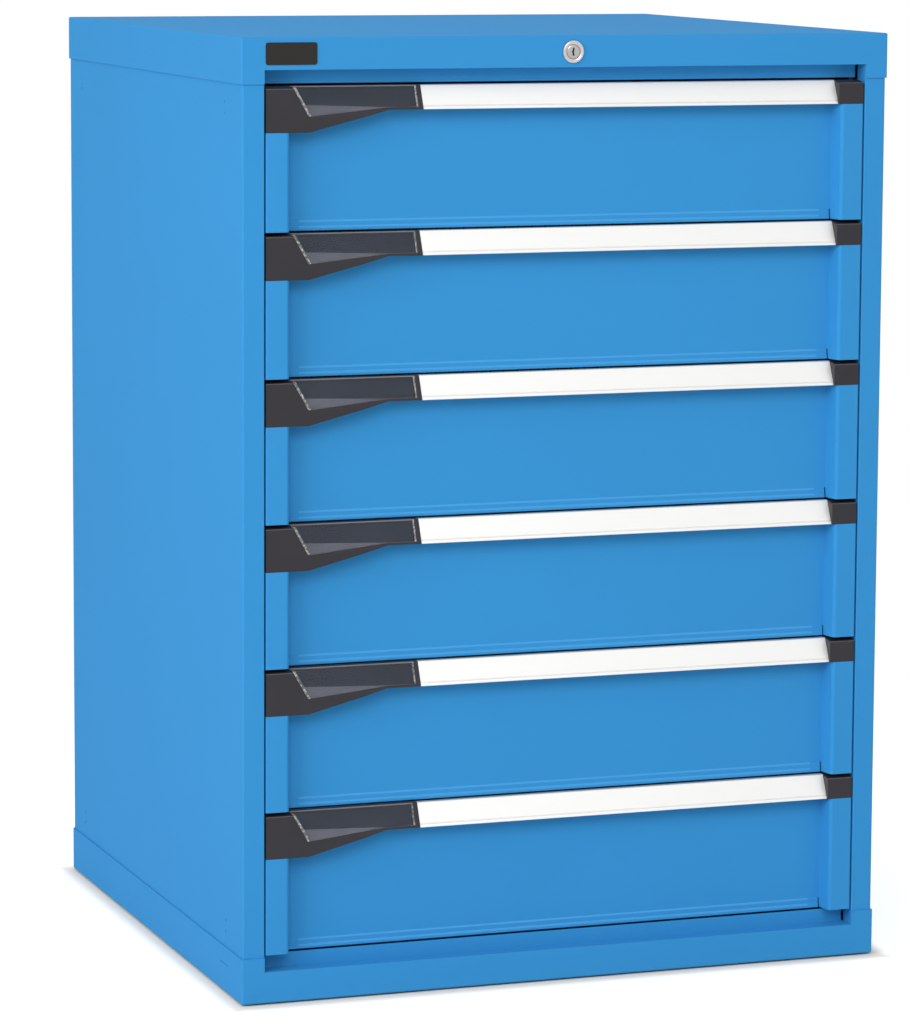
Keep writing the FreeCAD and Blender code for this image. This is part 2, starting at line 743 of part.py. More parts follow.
def make_label_holder():
    """Black moulding: tall block, rising lower edge, sloping face with the window's seat."""
    left = -front_x
    low = front_height - size("holder_drop")
    foot = front_height - size("grip_height")
    sides = extrusion("holder_sides", "YZ", left, holder_x, crown_outline(low))
    view = extrusion("holder_view", "XZ", post_y - MARGIN, panel_y + MARGIN,
                     [(left, low), (left + size("block_length"), low),
                      (left + size("slope_end"), foot), (holder_x, foot),
                      (holder_x, front_height + MARGIN), (left, front_height + MARGIN)])
    block = combine("Common", "holder_block", sides, view)
    lean = (size("window_foot_start") - size("window_top_start")) / size("window_drop")
    over = front_height + MARGIN
    under = low - MARGIN
    slope_view = extrusion("holder_slope_view", "XZ", post_y - 2 * MARGIN, panel_y,
                           [(left + size("window_top_start") - lean * MARGIN, over),
                            (left + size("window_foot_start")
                             + lean * (size("holder_drop") + MARGIN - size("window_drop")), under),
                            (holder_x + MARGIN, under), (holder_x + MARGIN, over)])
    slope_cut = combine("Common", "holder_slope_cut", slope_view, in_front_of("holder_slope", 0))
    seat_view = extrusion("holder_seat_view", "XZ", post_y - 2 * MARGIN, panel_y,
                          window_outline(holder_x - size("window_rim")))
    plate = size("window_plate")
    seat_cut = combine("Common", "holder_seat_cut", seat_view, in_front_of("holder_seat", plate))
    sloped = combine("Cut", "holder_sloped", block, slope_cut)
    return combine("Cut", "label_holder_form", sloped, seat_cut)


def make_label_window():
    """Clear plate that fills its seat in the label holder, flush with the sloping face."""
    outline = window_outline(holder_x - size("window_rim"))
    view = extrusion("window_view", "XZ", post_y, panel_y, outline)
    (top_y, top), (foot_y, foot) = window_plane(0)
    plate = size("window_plate")
    run = (top_y - foot_y) / (top - foot)
    slab = extrusion("window_slab", "YZ", -front_x, holder_x,
                     [(top_y, top), (foot_y - run * MARGIN, foot - MARGIN),
                      (foot_y - run * MARGIN + plate, foot - MARGIN), (top_y + plate, top)])
    return combine("Common", "label_window_form", view, slab)


def make_end_cap():
    """Black moulding at the right end of the grip."""
    piece = body("end_cap_form")
    low = front_height - size("grip_height")
    pad(piece, "YZ", end_cap_x, front_x, crown_outline(low))
    return piece


def make_lock_housing():
    """Barrel of the lock with its front ring, bored for the plug."""
    piece = body("lock_housing")
    ring_y = front_y - size("lock_proud")
    end_y = front_y + size("lock_barrel_length")
    ring = size("lock_ring_radius")
    pad(piece, "XZ", ring_y, front_y, (0, lock_z, ring))
    pad(piece, "XZ", front_y, end_y, (0, lock_z, size("lock_barrel_radius")))
    chamfer(piece, size("lock_proud") * 0.45, [(None, ring_y)])
    bore = size("plug_radius") + size("plug_clearance")
    pocket(piece, "XZ", ring_y - MARGIN, end_y + MARGIN, (0, lock_z, bore))
    return piece


def make_lock_plug():
    """Turning core with an upright keyhole."""
    piece = body("lock_plug")
    face_y = front_y - size("lock_proud") + size("plug_recess")
    end_y = front_y + size("lock_barrel_length") + size("plug_recess")
    pad(piece, "XZ", face_y, end_y, (0, lock_z, size("plug_radius")))
    wide = size("keyhole_width") / 2
    tall = size("keyhole_height") / 2
    pocket(piece, "XZ", face_y - MARGIN, face_y + size("keyhole_depth"),
           rectangle(-wide, wide, lock_z - tall, lock_z + tall))
    return piece


def cam_place():
    """The cam pin at rest, as (x, z): below the axis, at 45 degrees to the right."""
    step = math.sin(math.radians(45)) * size("cam_throw")
    return step, lock_z - step


def make_lock_shaft():
    """Rod from the plug to the rear, with the cam arm and its pin."""
    piece = body("lock_shaft")
    start_y = front_y + size("lock_barrel_length") + size("plug_recess")
    arm_back = bar_back_y - size("bar_sheet") - size("guide_clearance")
    arm_front = arm_back - size("cam_plate")
    pin_x, pin_z = cam_place()
    reach = size("cam_pin_radius") * 1.8
    hub = size("shaft_radius") * 1.6
    pad(piece, "XZ", start_y, arm_back, (0, lock_z, size("shaft_radius")))
    side = hub * math.sin(math.radians(45))
    tip = reach * math.sin(math.radians(45))
    pad(piece, "XZ", arm_front, arm_back,
        [(-side, lock_z - side), (pin_x - tip, pin_z - tip), (pin_x + tip, pin_z - tip),
         (pin_x + tip, pin_z + tip), (side, lock_z + side), (-side, lock_z + side)])
    pad(piece, "XZ", arm_back, arm_back + size("cam_pin_length"),
        (pin_x, pin_z, size("cam_pin_radius")))
    return piece


def make_locking_bar():
    """Upright bar with one hook per drawer and a slotted tab for the cam pin."""
    piece = body("locking_bar")
    half = size("bar_sheet") / 2
    low = stack_z + size("tray_lift")
    pin_x, pin_z = cam_place()
    high = lock_z - size("shaft_radius") - lift - size("hook_clearance")
    tip_y = bar_front_y - size("hook_length")
    outline = [(bar_back_y, low), (bar_back_y, high), (bar_front_y, high)]
    catch_low = (size("tray_lift") + size("tray_height") - size("catch_sheet")
                 - size("catch_drop"))
    for number in range(1, DRAWERS + 1):
        tip_z = stack_place(number) + catch_low - size("hook_clearance")
        arm_z = tip_z - size("hook_height")
        under_z = arm_z - size("hook_width")
        outline += [(bar_front_y, arm_z), (tip_y + size("hook_width"), arm_z),
                    (tip_y + size("hook_width"), tip_z), (tip_y, tip_z), (tip_y, under_z),
                    (bar_front_y, under_z)]
    outline.append((bar_front_y, low))
    pad(piece, "YZ", -half, half, outline)
    play = size("cam_pin_radius") + size("cam_pin_clearance")
    swing = (size("cam_throw") - pin_x) / 2
    slot_x = pin_x + swing
    tab_x = slot_x + swing + 2 * play
    tab_top = pin_z + play + size("bar_sheet")
    tab_low = high - size("bar_width")
    pad(piece, "XZ", bar_back_y - size("bar_sheet"), bar_back_y,
        rectangle(-half, tab_x, tab_low, tab_top), (slot_x, pin_z, swing, play))
    return piece


def make_cabinet():
    """Every sub-part of the body and the locking, in one list."""
    left_side = make_side_panel()
    upright = make_upright()
    rear_upright = group("rear_upright_form", [upright])
    rear_start = rear_panel_y - size("rear_upright_inset") - size("upright_width")
    set_size(rear_upright, "Placement.Base.y", rear_start - panel_y - size("upright_inset"))
    left_uprights = group("left_upright_forms", [upright, rear_upright])
    rail = make_outer_rail()
    rails = [in_stack(rail, "outer_rail_place_%d" % number, number)
             for number in range(1, DRAWERS + 1)]
    right_rails = group("right_fixed_rails", rails)
    return [
        make_top_cover(),
        make_base(),
        left_side,
        mirrored(left_side, "right_side_panel"),
        make_rear_panel(),
        group("uprights", [left_uprights, mirrored(left_uprights, "right_upright_forms")]),
        right_rails,
        mirrored(right_rails, "left_fixed_rails"),
        make_lock_housing(),
        make_lock_plug(),
        make_lock_shaft(),
        make_locking_bar(),
    ]


def make_drawers():
    """The sub-parts of every drawer, each from one form and its place in the stack."""
    inner = make_inner_rail()
    mid = make_mid_rail()
    forms = {
        "front": make_front(),
        "tray": make_tray(),
        "handle": make_handle(),
        "label_holder": make_label_holder(),
        "label_window": make_label_window(),
        "end_cap": make_end_cap(),
        "rails": group("inner_rail_pair", [inner, mirrored(inner, "inner_rail_twin")]),
        "mid_rails": group("mid_rail_pair", [mid, mirrored(mid, "mid_rail_twin")]),
    }
    return [in_stack(form, "drawer_%d_%s" % (number, word), number)
            for number in range(1, DRAWERS + 1) for word, form in forms.items()]


def check_document():
    """Stop on any failed object and on any cut that removed nothing."""
    for item in doc.Objects:
        if "Invalid" in item.State or "Error" in item.State:
            raise RuntimeError("%s failed: %s" % (item.Label, item.State))
        if item.TypeId == "PartDesign::Pocket":
            if item.Shape.Volume > item.BaseFeature.Shape.Volume - 0.001:
                raise RuntimeError("%s removes nothing" % item.Label)


def export(pieces):
    """Write each sub-part to its own file, after checking its shape."""
    os.makedirs(PARTS_FOLDER, exist_ok=True)
    for piece in pieces:
        shape = piece.Shape
        if shape.isNull() or not shape.isValid() or not shape.Solids:
            raise RuntimeError("%s has no valid shape" % piece.Label)
        solids = shape.Solids
        whole = solids[0] if len(solids) == 1 else Part.makeCompound(solids)
        whole.exportStep(os.path.join(PARTS_FOLDER, "%s.step" % piece.Label))
        print("%-26s %2d solids %12.1f mm3" % (piece.Label, len(solids), whole.Volume))


sub_parts = make_cabinet() + make_drawers()
doc.recompute()
check_document()
export(sub_parts)
print("sub-parts:", len(sub_parts))
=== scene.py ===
"""Finishes of a modular drawer cabinet: coated sheet steel, anodised grips, black mouldings.

Lengths are metres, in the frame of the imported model: +Z up, fronts towards -Y.
"""

import json
import math

import bmesh
import bpy
from bpy.props import FloatProperty, FloatVectorProperty, IntProperty, PointerProperty
from mathutils import Matrix, Vector
from mathutils.geometry import intersect_line_line

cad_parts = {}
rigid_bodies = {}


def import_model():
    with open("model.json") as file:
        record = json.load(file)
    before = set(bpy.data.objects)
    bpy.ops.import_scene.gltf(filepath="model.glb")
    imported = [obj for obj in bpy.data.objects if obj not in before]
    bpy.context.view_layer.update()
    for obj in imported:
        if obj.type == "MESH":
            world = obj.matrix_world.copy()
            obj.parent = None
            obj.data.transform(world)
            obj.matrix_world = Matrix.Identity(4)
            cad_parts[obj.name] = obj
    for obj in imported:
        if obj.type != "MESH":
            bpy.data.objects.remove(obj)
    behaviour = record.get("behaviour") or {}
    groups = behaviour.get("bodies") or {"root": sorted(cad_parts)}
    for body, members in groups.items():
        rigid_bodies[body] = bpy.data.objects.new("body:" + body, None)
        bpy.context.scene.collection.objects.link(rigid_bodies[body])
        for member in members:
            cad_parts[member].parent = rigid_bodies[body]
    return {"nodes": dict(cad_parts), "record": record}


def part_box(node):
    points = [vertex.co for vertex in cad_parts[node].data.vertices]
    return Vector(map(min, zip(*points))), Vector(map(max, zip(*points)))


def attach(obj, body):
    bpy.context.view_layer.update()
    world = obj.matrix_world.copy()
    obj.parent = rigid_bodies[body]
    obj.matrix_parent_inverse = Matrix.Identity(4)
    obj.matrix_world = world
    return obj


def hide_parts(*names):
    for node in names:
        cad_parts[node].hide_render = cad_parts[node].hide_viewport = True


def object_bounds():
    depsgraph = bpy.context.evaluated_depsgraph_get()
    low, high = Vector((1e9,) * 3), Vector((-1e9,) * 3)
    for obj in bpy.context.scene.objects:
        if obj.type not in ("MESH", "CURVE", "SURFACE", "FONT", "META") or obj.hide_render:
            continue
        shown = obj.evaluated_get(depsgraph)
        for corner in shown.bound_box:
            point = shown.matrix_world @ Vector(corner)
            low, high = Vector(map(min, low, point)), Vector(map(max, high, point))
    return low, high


bl_info = {
    "name": "Modular drawer cabinet",
    "version": (1, 0, 0),
    "blender": (4, 5, 0),
    "location": "3D View > Sidebar > Cabinet",
    "description": "Finishes and small parts for a steel cabinet with six drawers",
    "category": "Object",
}

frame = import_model()
NODES = frame["nodes"]
CAD_BOX = [list(corner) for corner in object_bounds()]

MM = 0.001
MERGE = 0.002 * MM            # vertices closer than this are one
FLAT = math.radians(0.6)      # faces that turn less than this are one
SHARP = math.radians(28)      # edges that turn more than this are rounded
WHITE = (1, 1, 1, 1)


def mm(*lengths):
    """Lengths in millimetres, turned into metres."""
    return tuple(length * MM for length in lengths)


# Pressed marks on the sides, in mm: (y, lowest z, step, count), and one dash on the base
MARK_ROWS = ((-275, 66.2, 12.2, 2), (-275, 921, 11.6, 2), (288, 67.0, 11.5, 2),
             (288, 920.4, 5.3, 3))
MARK_OUT = 0.1                # their centres outside the sheet, as a share of their radius
DASH_Y, DASH_Z = mm(-274.5, 32)
DASH_SIZE = mm(2, 29, 1.3)

# The base's foot flange, whose outer strip rises from the floor
FOOT_TOP = 1.6 * MM           # up to here a point belongs to the flange
FOOT_SLOPE = 9 * MM           # width of the strip
FOOT_LIFT = 1.8 * MM

# Bent lower edge of a drawer panel, in mm, and its two small steps: (share of the height
# below the bend, share of the way forward)
BAND_HALF, BAND_HEIGHT, BAND_RISE = 302.4, 10.5, 1.8
BAND_STEPS = ((0.0, 0.0), (0.10, 0.48), (0.58, 0.50), (0.68, 0.98), (1.0, 1.0))
BAND_HIGHLIGHT_LINES = mm(9.7, 3.7)     # painted highlight lines at its bends, above the lower edge
LINE_HALF = 1.5 * MM          # half the width of such a line
LINE_REACH = (BAND_HALF - 12) * MM

# Mouldings at the ends of a grip: their tops fall towards the front from an edge that carries a
# painted highlight
CROWN_DROP = 2.3 * MM
CROWN_HALF = 0.9 * MM
CROWN_DEPTH = 0.8 * MM
# tone of the highlight painted along that edge
CROWN_HIGHLIGHT_TONE = (0.15, 0.145, 0.15, 1)

# Label windows: widths of the edges, then places behind the face and thickness of what
# backs the window, as multiples of the window's own thickness
END_LEFT, END_RIGHT, RIM_TOP, RIM_LOW = mm(2.8, 2.0, 1.5, 0.5)
END_REACH = 0.2 * MM          # the left end stops this far behind the holder's face
OUTER_INSET, CLEAR_EDGE, END_EDGE = mm(0.15, 0.08, 0.12)   # play round it, and roundings
CLEAR_AT, LEDGE_AT, POCKET_AT, BACKING = 0.1, 1.3, 1.6, 0.3
LEDGE_FALL = -0.034           # slope of the ledge, falling to the right

# Trays: sheet and hem, divider slots below the hem, notches behind the slits of the panel
TRAY_SHEET, TRAY_HEM = mm(1.0, 5.0)
SLOT_DROP = 13 * MM
NOTCH = mm(8, 3, 14)
TRAY_RIVETS = 4
TRAY_RIVET = mm(1.2, 3, 3)
RIVET_MARGIN = 30 * MM        # from the ends of a row to its first rivet
RIVET_INSET = 12 * MM         # from the edges of the rear panel

# Outline of the keyhole, in mm from the lock's axis, and where the plug's metal is painted dark
# as shade inside the keyhole
KEYHOLE = ((-0.7, 4.0), (-0.85, 2.1), (-1.75, 0.1), (-0.75, -3.0), (-0.6, -4.0), (1.0, -4.0),
           (0.95, -3.0), (-0.1, 0.1), (0.75, 2.0), (0.9, 4.0))
KEY_FROM, KEY_TO = mm(0.9, 7.5)
KEY_AHEAD, KEY_LENGTH = mm(2, 9)     # the keyhole's cutter: before the face, and in all

BADGE_BOX = mm(-332.7, -277.9, 972.1, 994.8)   # left, right, low, high
BADGE_CORNER, BADGE_SHEET = mm(2.5, 0.8)

COAT_ROUGHNESS, TRAY_ROUGHNESS = 0.80, 0.55
# light grey of the window's long edges, a painted highlight
RIM_HIGHLIGHT_TONE = (0.17, 0.155, 0.165)
POCKET_TONE = (0.016, 0.021, 0.033)
# the ledge is the black plastic painted lighter, as if lit from above
LEDGE_PAINTED_LIGHT_TONE = (0.105, 0.105, 0.122)
BADGE_TONE = (0.012, 0.011, 0.010)
KEYHOLE_SHADE_TONE = (0.004, 0.004, 0.004, 1)

FLOOR_HALF = 14               # half the side of the floor
FLOOR_TONE = (0.9, 0.9, 0.9, 1)
FLOOR_FOOT = (0.96, 0.88, 0.78, 1)   # at the cabinet's foot, which evens out its blue glow
FLOOR_GLOW = 0.54             # own light of the floor near the cabinet, as the camera sees it
GLOW_REACH = 0.028            # this light fades in over this distance from the cabinet, which paints a contact shadow at its foot
WHITE_FROM, WHITE_TO = 0.9, 1.6      # between these distances the floor turns plain white
WORLD_LIGHT = 0.45

# Lamps: (name, place, target, width, height, share of the main power, shows as a highlight)
FRONT = (0, -0.2, 0.5)
LAMPS = (("main_lamp", (-1.6, -6.0, 4.6), FRONT, 4.0, 3.2, 1.0, True),
         ("side_lamp", (-4.2, -2.2, 2.4), FRONT, 3.0, 3.0, 0.76, False),
         ("top_lamp", (0, 1.2, 4.4), (0, 0.4, 1.0), 2.6, 2.2, 0.13, False))

# The photograph's camera, from the cabinet's outline corners; turns are yaw, pitch and roll
CAMERA_PLACE = (-1.66150, -4.59411, 1.15862)
CAMERA_TURNS = (-19.8189, -7.2526, -0.3130)
FOCAL_LENGTH, SENSOR_WIDTH, LENS_SHIFT = 154.834, 36, -0.07
FAR_CLIP = 60

DRAWER_NUMBERS = range(1, 1 + sum(name.endswith("_front") for name in NODES))


def drawer_nodes(part):
    """Names of one part in all drawers, the top drawer first."""
    return ["drawer_%d_%s" % (number, part) for number in DRAWER_NUMBERS]


# Settings that a user would change


def colour_setting(name, description, default):
    """A colour that a user may change."""
    return FloatVectorProperty(name=name, description=description, default=default,
                               subtype="COLOR", size=3, min=0, max=1)


def length_setting(name, description, default, low=0.0, high=1.0):
    """A length that a user may change, given in millimetres."""
    return FloatProperty(name=name, description=description, default=default * MM,
                         min=low * MM, max=high, unit="LENGTH")


class CabinetColours(bpy.types.PropertyGroup):
    """Colours of the finishes."""

    coat: colour_setting(
        "Body coat", "Powder coat of the body and the fronts", (0.034, 0.275, 0.612))
    tray_coat: colour_setting(
        "Tray coat", "Powder coat of the drawer trays", (0.52, 0.54, 0.54))
    grip: colour_setting(
        "Grip", "Anodised aluminium of the grips", (0.85, 0.845, 0.825))
    moulding: colour_setting(
        "Moulding", "Black plastic of the grip ends", (0.024, 0.022, 0.027))
    zinc: colour_setting(
        "Zinc", "Zinc plating of runners and locking parts", (0.62, 0.64, 0.66))
    lock: colour_setting(
        "Lock", "Nickel of the lock", (0.62, 0.60, 0.60))


class CabinetSizes(bpy.types.PropertyGroup):
    """Sizes of edges, marks and small parts."""

    sheet_edge: length_setting(
        "Sheet edge", "Rounding of the coated sheet edges", 0.3)
    plastic_edge: length_setting(
        "Plastic edge", "Rounding of the moulded edges", 0.6)
    metal_edge: length_setting(
        "Metal edge", "Rounding of the machined edges", 0.15)
    coat_grain: length_setting(
        "Coat grain", "Width of the ripples in the powder coat", 1.6, 0.1)
    slot_pitch: length_setting(
        "Slot pitch", "Raster of the divider slots in the trays", 17, 5)
    slot_width: length_setting(
        "Slot width", "Width of a divider slot", 2.4, 0.5)
    slot_height: length_setting(
        "Slot height", "Height of a divider slot", 38, 5)
    mark_radius: length_setting(
        "Mark radius", "Radius of a pressed mark on the sides", 1.8, 0.2)
    window_plate: length_setting(
        "Window plate", "Thickness of the clear label window", 0.9, 0.2, 1.5 * MM)
    ledge_drop: length_setting(
        "Ledge", "From the top of a window to the ledge behind it", 18.8, 5)
    foot_bend: length_setting(
        "Foot bend", "Outer bend at the lower edge of the base", 2, 0.5, 3 * MM)
    rivet_radius: length_setting(
        "Rivet radius", "Radius of a rivet head at the rear", 4, 1)
    rivet_count: IntProperty(
        name="Rivets", description="Rivets in each column at the rear", default=7, min=2)
    light_strength: FloatProperty(
        name="Light", description="Power of the main lamp", default=165, min=0, unit="POWER")


def colours():
    """The chosen colours."""
    return bpy.context.scene.cabinet_colours


def sizes():
    """The chosen sizes."""
    return bpy.context.scene.cabinet_sizes


# Node graphs


class Wire:
    """A socket in a graph, on which Python's arithmetic adds Math nodes."""

    def __init__(self, graph, socket):
        self.graph = graph
        self.socket = socket

    def math(self, operation, *others):
        """One Math node with this socket as its first value."""
        values = dict(enumerate((self,) + others))
        return self.graph.node("ShaderNodeMath", {"operation": operation}, values)

    def reflected(self, operation, first):
        """One Math node with this socket as its second value."""
        return self.graph.node("ShaderNodeMath", {"operation": operation}, {0: first, 1: self})

    def __add__(self, other):
        return self.math("ADD", other)

    def __radd__(self, other):
        return self.reflected("ADD", other)

    def __sub__(self, other):
        return self.math("SUBTRACT", other)

    def __rsub__(self, other):
        return self.reflected("SUBTRACT", other)

    def __mul__(self, other):
        return self.math("MULTIPLY", other)

    def __rmul__(self, other):
        return self.reflected("MULTIPLY", other)

    def __truediv__(self, other):
        return self.math("DIVIDE", other)

    def __rtruediv__(self, other):
        return self.reflected("DIVIDE", other)


class Graph:
    """A node tree that is built by calls."""

    def __init__(self, tree):
        self.tree = tree

    def node(self, kind, settings=None, inputs=None, output=0):
        """One node: its settings are set first, then its inputs. Returns one output."""
        item = self.tree.nodes.new(kind)
        for name, value in (settings or {}).items():
            setattr(item, name, value)
        for name, value in (inputs or {}).items():
            self.feed(item.inputs[name], value)
        if len(item.outputs) == 0:
            return item
        return Wire(self, item.outputs[output])

    def feed(self, socket, value):
        """Links a wire to a socket, or sets the socket's own value."""
        if isinstance(value, Wire):
            self.tree.links.new(value.socket, socket)
        else:
            socket.default_value = value

    def place(self, stretch=(1, 1, 1)):
        """Object coordinates, stretched along the axes."""
        here = self.node("ShaderNodeTexCoord", output="Object")
        if stretch == (1, 1, 1):
            return here
        return self.node("ShaderNodeVectorMath", {"operation": "MULTIPLY"}, {0: here, 1: stretch})

    def noise(self, place, width, detail=2, roughness=0.5):
        """Noise whose blots are about as wide as the given length."""
        return self.node("ShaderNodeTexNoise", None, {
            "Vector": place, "Scale": 1 / width, "Detail": detail, "Roughness": roughness})

    def mix(self, factor, first, second):
        """Two colours mixed."""
        return self.node("ShaderNodeMix", {"data_type": "RGBA"},
                         {0: factor, 6: first, 7: second}, output=2)

    def blend(self, factor, first, second):
        """Two shaders mixed."""
        return self.node("ShaderNodeMixShader", None, {0: factor, 1: first, 2: second})

    def axis(self, letter):
        """One of the Object coordinates."""
        return self.node("ShaderNodeSeparateXYZ", None, {0: self.place()}, output=letter)

    def slide(self, value, start, end, first=0.0, last=1.0, kind="SMOOTHSTEP"):
        """A value that runs from first to last between start and end."""
        return self.node("ShaderNodeMapRange", {"interpolation_type": kind}, {
            "Value": value, "From Min": start, "From Max": end, "To Min": first, "To Max": last})

    def bump(self, height, depth):
        """A normal from heights between 0 and 1, as deep as the given length."""
        return self.node("ShaderNodeBump", None, {
            "Height": height, "Strength": 1.0, "Distance": depth})


def rgba(colour, level=1.0):
    """A colour with alpha, made lighter or darker by a factor."""
    return tuple(min(1.0, part * level) for part in colour) + (1.0,)


def new_material(name):
    """An empty material and its graph."""
    material = bpy.data.materials.new(name)
    material.use_nodes = True
    material.node_tree.nodes.clear()
    return material, Graph(material.node_tree)


def surface(material, graph, **inputs):
    """Ends a material with a principled shader, whose sockets are given by name."""
    named = {name.replace("_", " "): value for name, value in inputs.items()}
    shader = graph.node("ShaderNodeBsdfPrincipled", None, named)
    graph.node("ShaderNodeOutputMaterial", None, {"Surface": shader})
    return material


# Finishes


def drawer_lines(graph, heights, half_width):
    """1 on level lines at these heights of the lowest drawer, and at those of the others."""
    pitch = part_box("drawer_1_front")[0].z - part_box("drawer_2_front")[0].z
    mask = 0.0
    for height in heights:
        offset = (graph.axis("Z") - (height - pitch / 2)).math("MODULO", pitch) - pitch / 2
        mask = mask + graph.slide(offset.math("ABSOLUTE"), half_width * 0.4, half_width, 1.0, 0.0)
    return mask.math("MINIMUM", 1.0)


def bend_highlight_mask(graph):
    """1 on the lines at the bends in the lower edge of each drawer panel, where highlights are
    painted.
    """
    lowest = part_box(drawer_nodes("front")[-1])[0].z
    lines = drawer_lines(graph, [lowest + height for height in BAND_HIGHLIGHT_LINES], LINE_HALF)
    return lines * graph.axis("X").math("ABSOLUTE").math("LESS_THAN", LINE_REACH)


def crown_highlight_mask(graph):
    """1 on the edge where the tops of the mouldings start to fall, where a highlight is painted.
    """
    low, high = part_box(drawer_nodes("end_cap")[-1])
    line = drawer_lines(graph, [high.z - CROWN_DROP], CROWN_HALF)
    return line * graph.axis("Y").math("LESS_THAN", low.y + CROWN_DEPTH)


def powder_coat(name, colour, roughness, bend_highlights=False):
    """Baked powder: a fine ripple, a very faint clouding, and painted highlights on the bends if
    asked for.
    """
    material, graph = new_material(name)
    place = graph.place()
    cloud = graph.noise(place, 0.22, 2)
    ripple = graph.noise(place, sizes().coat_grain, 1)
    speck = graph.noise(place, 0.35 * MM, 0)
    tone = graph.mix(cloud, rgba(colour, 0.965), rgba(colour, 1.035))
    if bend_highlights:
        # painted highlights on the bend lines of the panel
        highlight_tone = rgba([part * 1.12 + 0.025 for part in colour])
        tone = graph.mix(bend_highlight_mask(graph), tone, highlight_tone)
    height = ripple * 0.8 + speck * 0.2
    return surface(
        material, graph, Base_Color=tone, Roughness=roughness + (cloud - 0.5) * 0.06,
        Specular_IOR_Level=0.22, Normal=graph.bump(height, 0.022 * MM))


def zinc_plate(name, colour):
    """Rolled and zinc plated strip: cloudy, with faint lines along the depth."""
    material, graph = new_material(name)
    cloud = graph.noise(graph.place(), 18 * MM, 4, 0.6)
    lines = graph.noise(graph.place((1, 0.02, 1)), 0.6 * MM, 2)
    tone = graph.mix(cloud, rgba(colour, 0.86), rgba(colour, 1.1))
    return surface(
        material, graph, Base_Color=tone, Metallic=1.0, Roughness=0.30 + cloud * 0.16,
        Normal=graph.bump(lines, 0.008 * MM))


def anodised(name, colour):
    """Satin anodised extrusion with faint drawing lines along its length."""
    material, graph = new_material(name)
    lines = graph.noise(graph.place((0.004, 1, 1)), 0.5 * MM, 3, 0.6)
    cloud = graph.noise(graph.place((0.3, 1, 1)), 60 * MM, 2)
    tone = graph.mix(lines, rgba(colour, 0.975), rgba(colour, 1.02))
    return surface(
        material, graph, Base_Color=tone, Metallic=0.6, Roughness=0.42 + (cloud - 0.5) * 0.05,
        Normal=graph.bump(lines, 0.006 * MM))


def moulded(name, colour, roughness=0.50, highlit_crown=False):
    """Black moulding with a fine spark-eroded grain, and a painted highlight on its crown edge if
    asked for.
    """
    material, graph = new_material(name)
    place = graph.place()
    cloud = graph.noise(place, 30 * MM, 2)
    grain = graph.noise(place, 0.45 * MM, 2, 0.6)
    tone = graph.mix(cloud, rgba(colour, 0.92), rgba(colour, 1.1))
    if highlit_crown:
        # painted highlight along the crown edge
        tone = graph.mix(crown_highlight_mask(graph), tone, CROWN_HIGHLIGHT_TONE)
    return surface(
        material, graph, Base_Color=tone, Roughness=roughness + (grain - 0.5) * 0.12,
        Specular_IOR_Level=0.3, Normal=graph.bump(grain, 0.02 * MM))


def clear_plastic(name):
    """Clear moulded window with a trace of flow lines."""
    material, graph = new_material(name)
    flow = graph.noise(graph.place((0.2, 1, 1)), 9 * MM, 1)
    return surface(
        material, graph, Base_Color=(0.93, 0.95, 0.99, 1), Transmission_Weight=1.0, IOR=1.18,
        Roughness=0.03 + flow * 0.02, Normal=graph.bump(flow, 0.03 * MM))


def painted_glints(name):
    """Thick edge of the clear window, with highlights painted on in patches."""
    material, graph = new_material(name)
    patches = graph.noise(graph.place(), 2.6 * MM, 3, 0.65)
    glint_tone = graph.slide(patches, 0.46, 0.68, 0.10, 0.60, "LINEAR")
    return surface(
        material, graph, Base_Color=glint_tone, Roughness=0.22 + patches * 0.2,
        Normal=graph.bump(patches, 0.15 * MM))


def painted_rim_highlight(name, colour):
    """Thin long edges of the clear window, painted an even light grey as a highlight."""
    material, graph = new_material(name)
    flow = graph.noise(graph.place((0.2, 1, 1)), 6 * MM, 2)
    tone = graph.mix(flow, rgba(colour, 0.85), rgba(colour, 1.15))
    return surface(
        material, graph, Base_Color=tone, Roughness=0.35 + flow * 0.1,
        Normal=graph.bump(flow, 0.02 * MM))


def nickel(name, colour):
    """Tumbled nickel: bright, with a fine speckle."""
    material, graph = new_material(name)
    speckle = graph.noise(graph.place(), 0.9 * MM, 3, 0.7)
    tone = graph.mix(speckle, rgba(colour, 0.82), rgba(colour, 1.16))
    return surface(
        material, graph, Base_Color=tone, Metallic=1.0, Roughness=0.20 + speckle * 0.18,
        Normal=graph.bump(speckle, 0.03 * MM))


def keyed_nickel(name, colour):
    """The plug's nickel, with painted shade inside the keyhole."""
    material, graph = new_material(name)
    depth = graph.axis("Y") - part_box("lock_plug")[0].y
    # painted shade inside the keyhole: near black and not metallic
    inside = depth.math("GREATER_THAN", KEY_FROM) * depth.math("LESS_THAN", KEY_TO)
    speckle = graph.noise(graph.place(), 0.9 * MM, 3, 0.7)
    tone = graph.mix(speckle, rgba(colour, 0.62), rgba(colour, 0.95))
    return surface(
        material, graph, Base_Color=graph.mix(inside, tone, KEYHOLE_SHADE_TONE),
        Metallic=1 - inside, Roughness=0.22 + speckle * 0.2 + inside * 0.4,
        Normal=graph.bump(speckle, 0.05 * MM))


FINISHES = {}


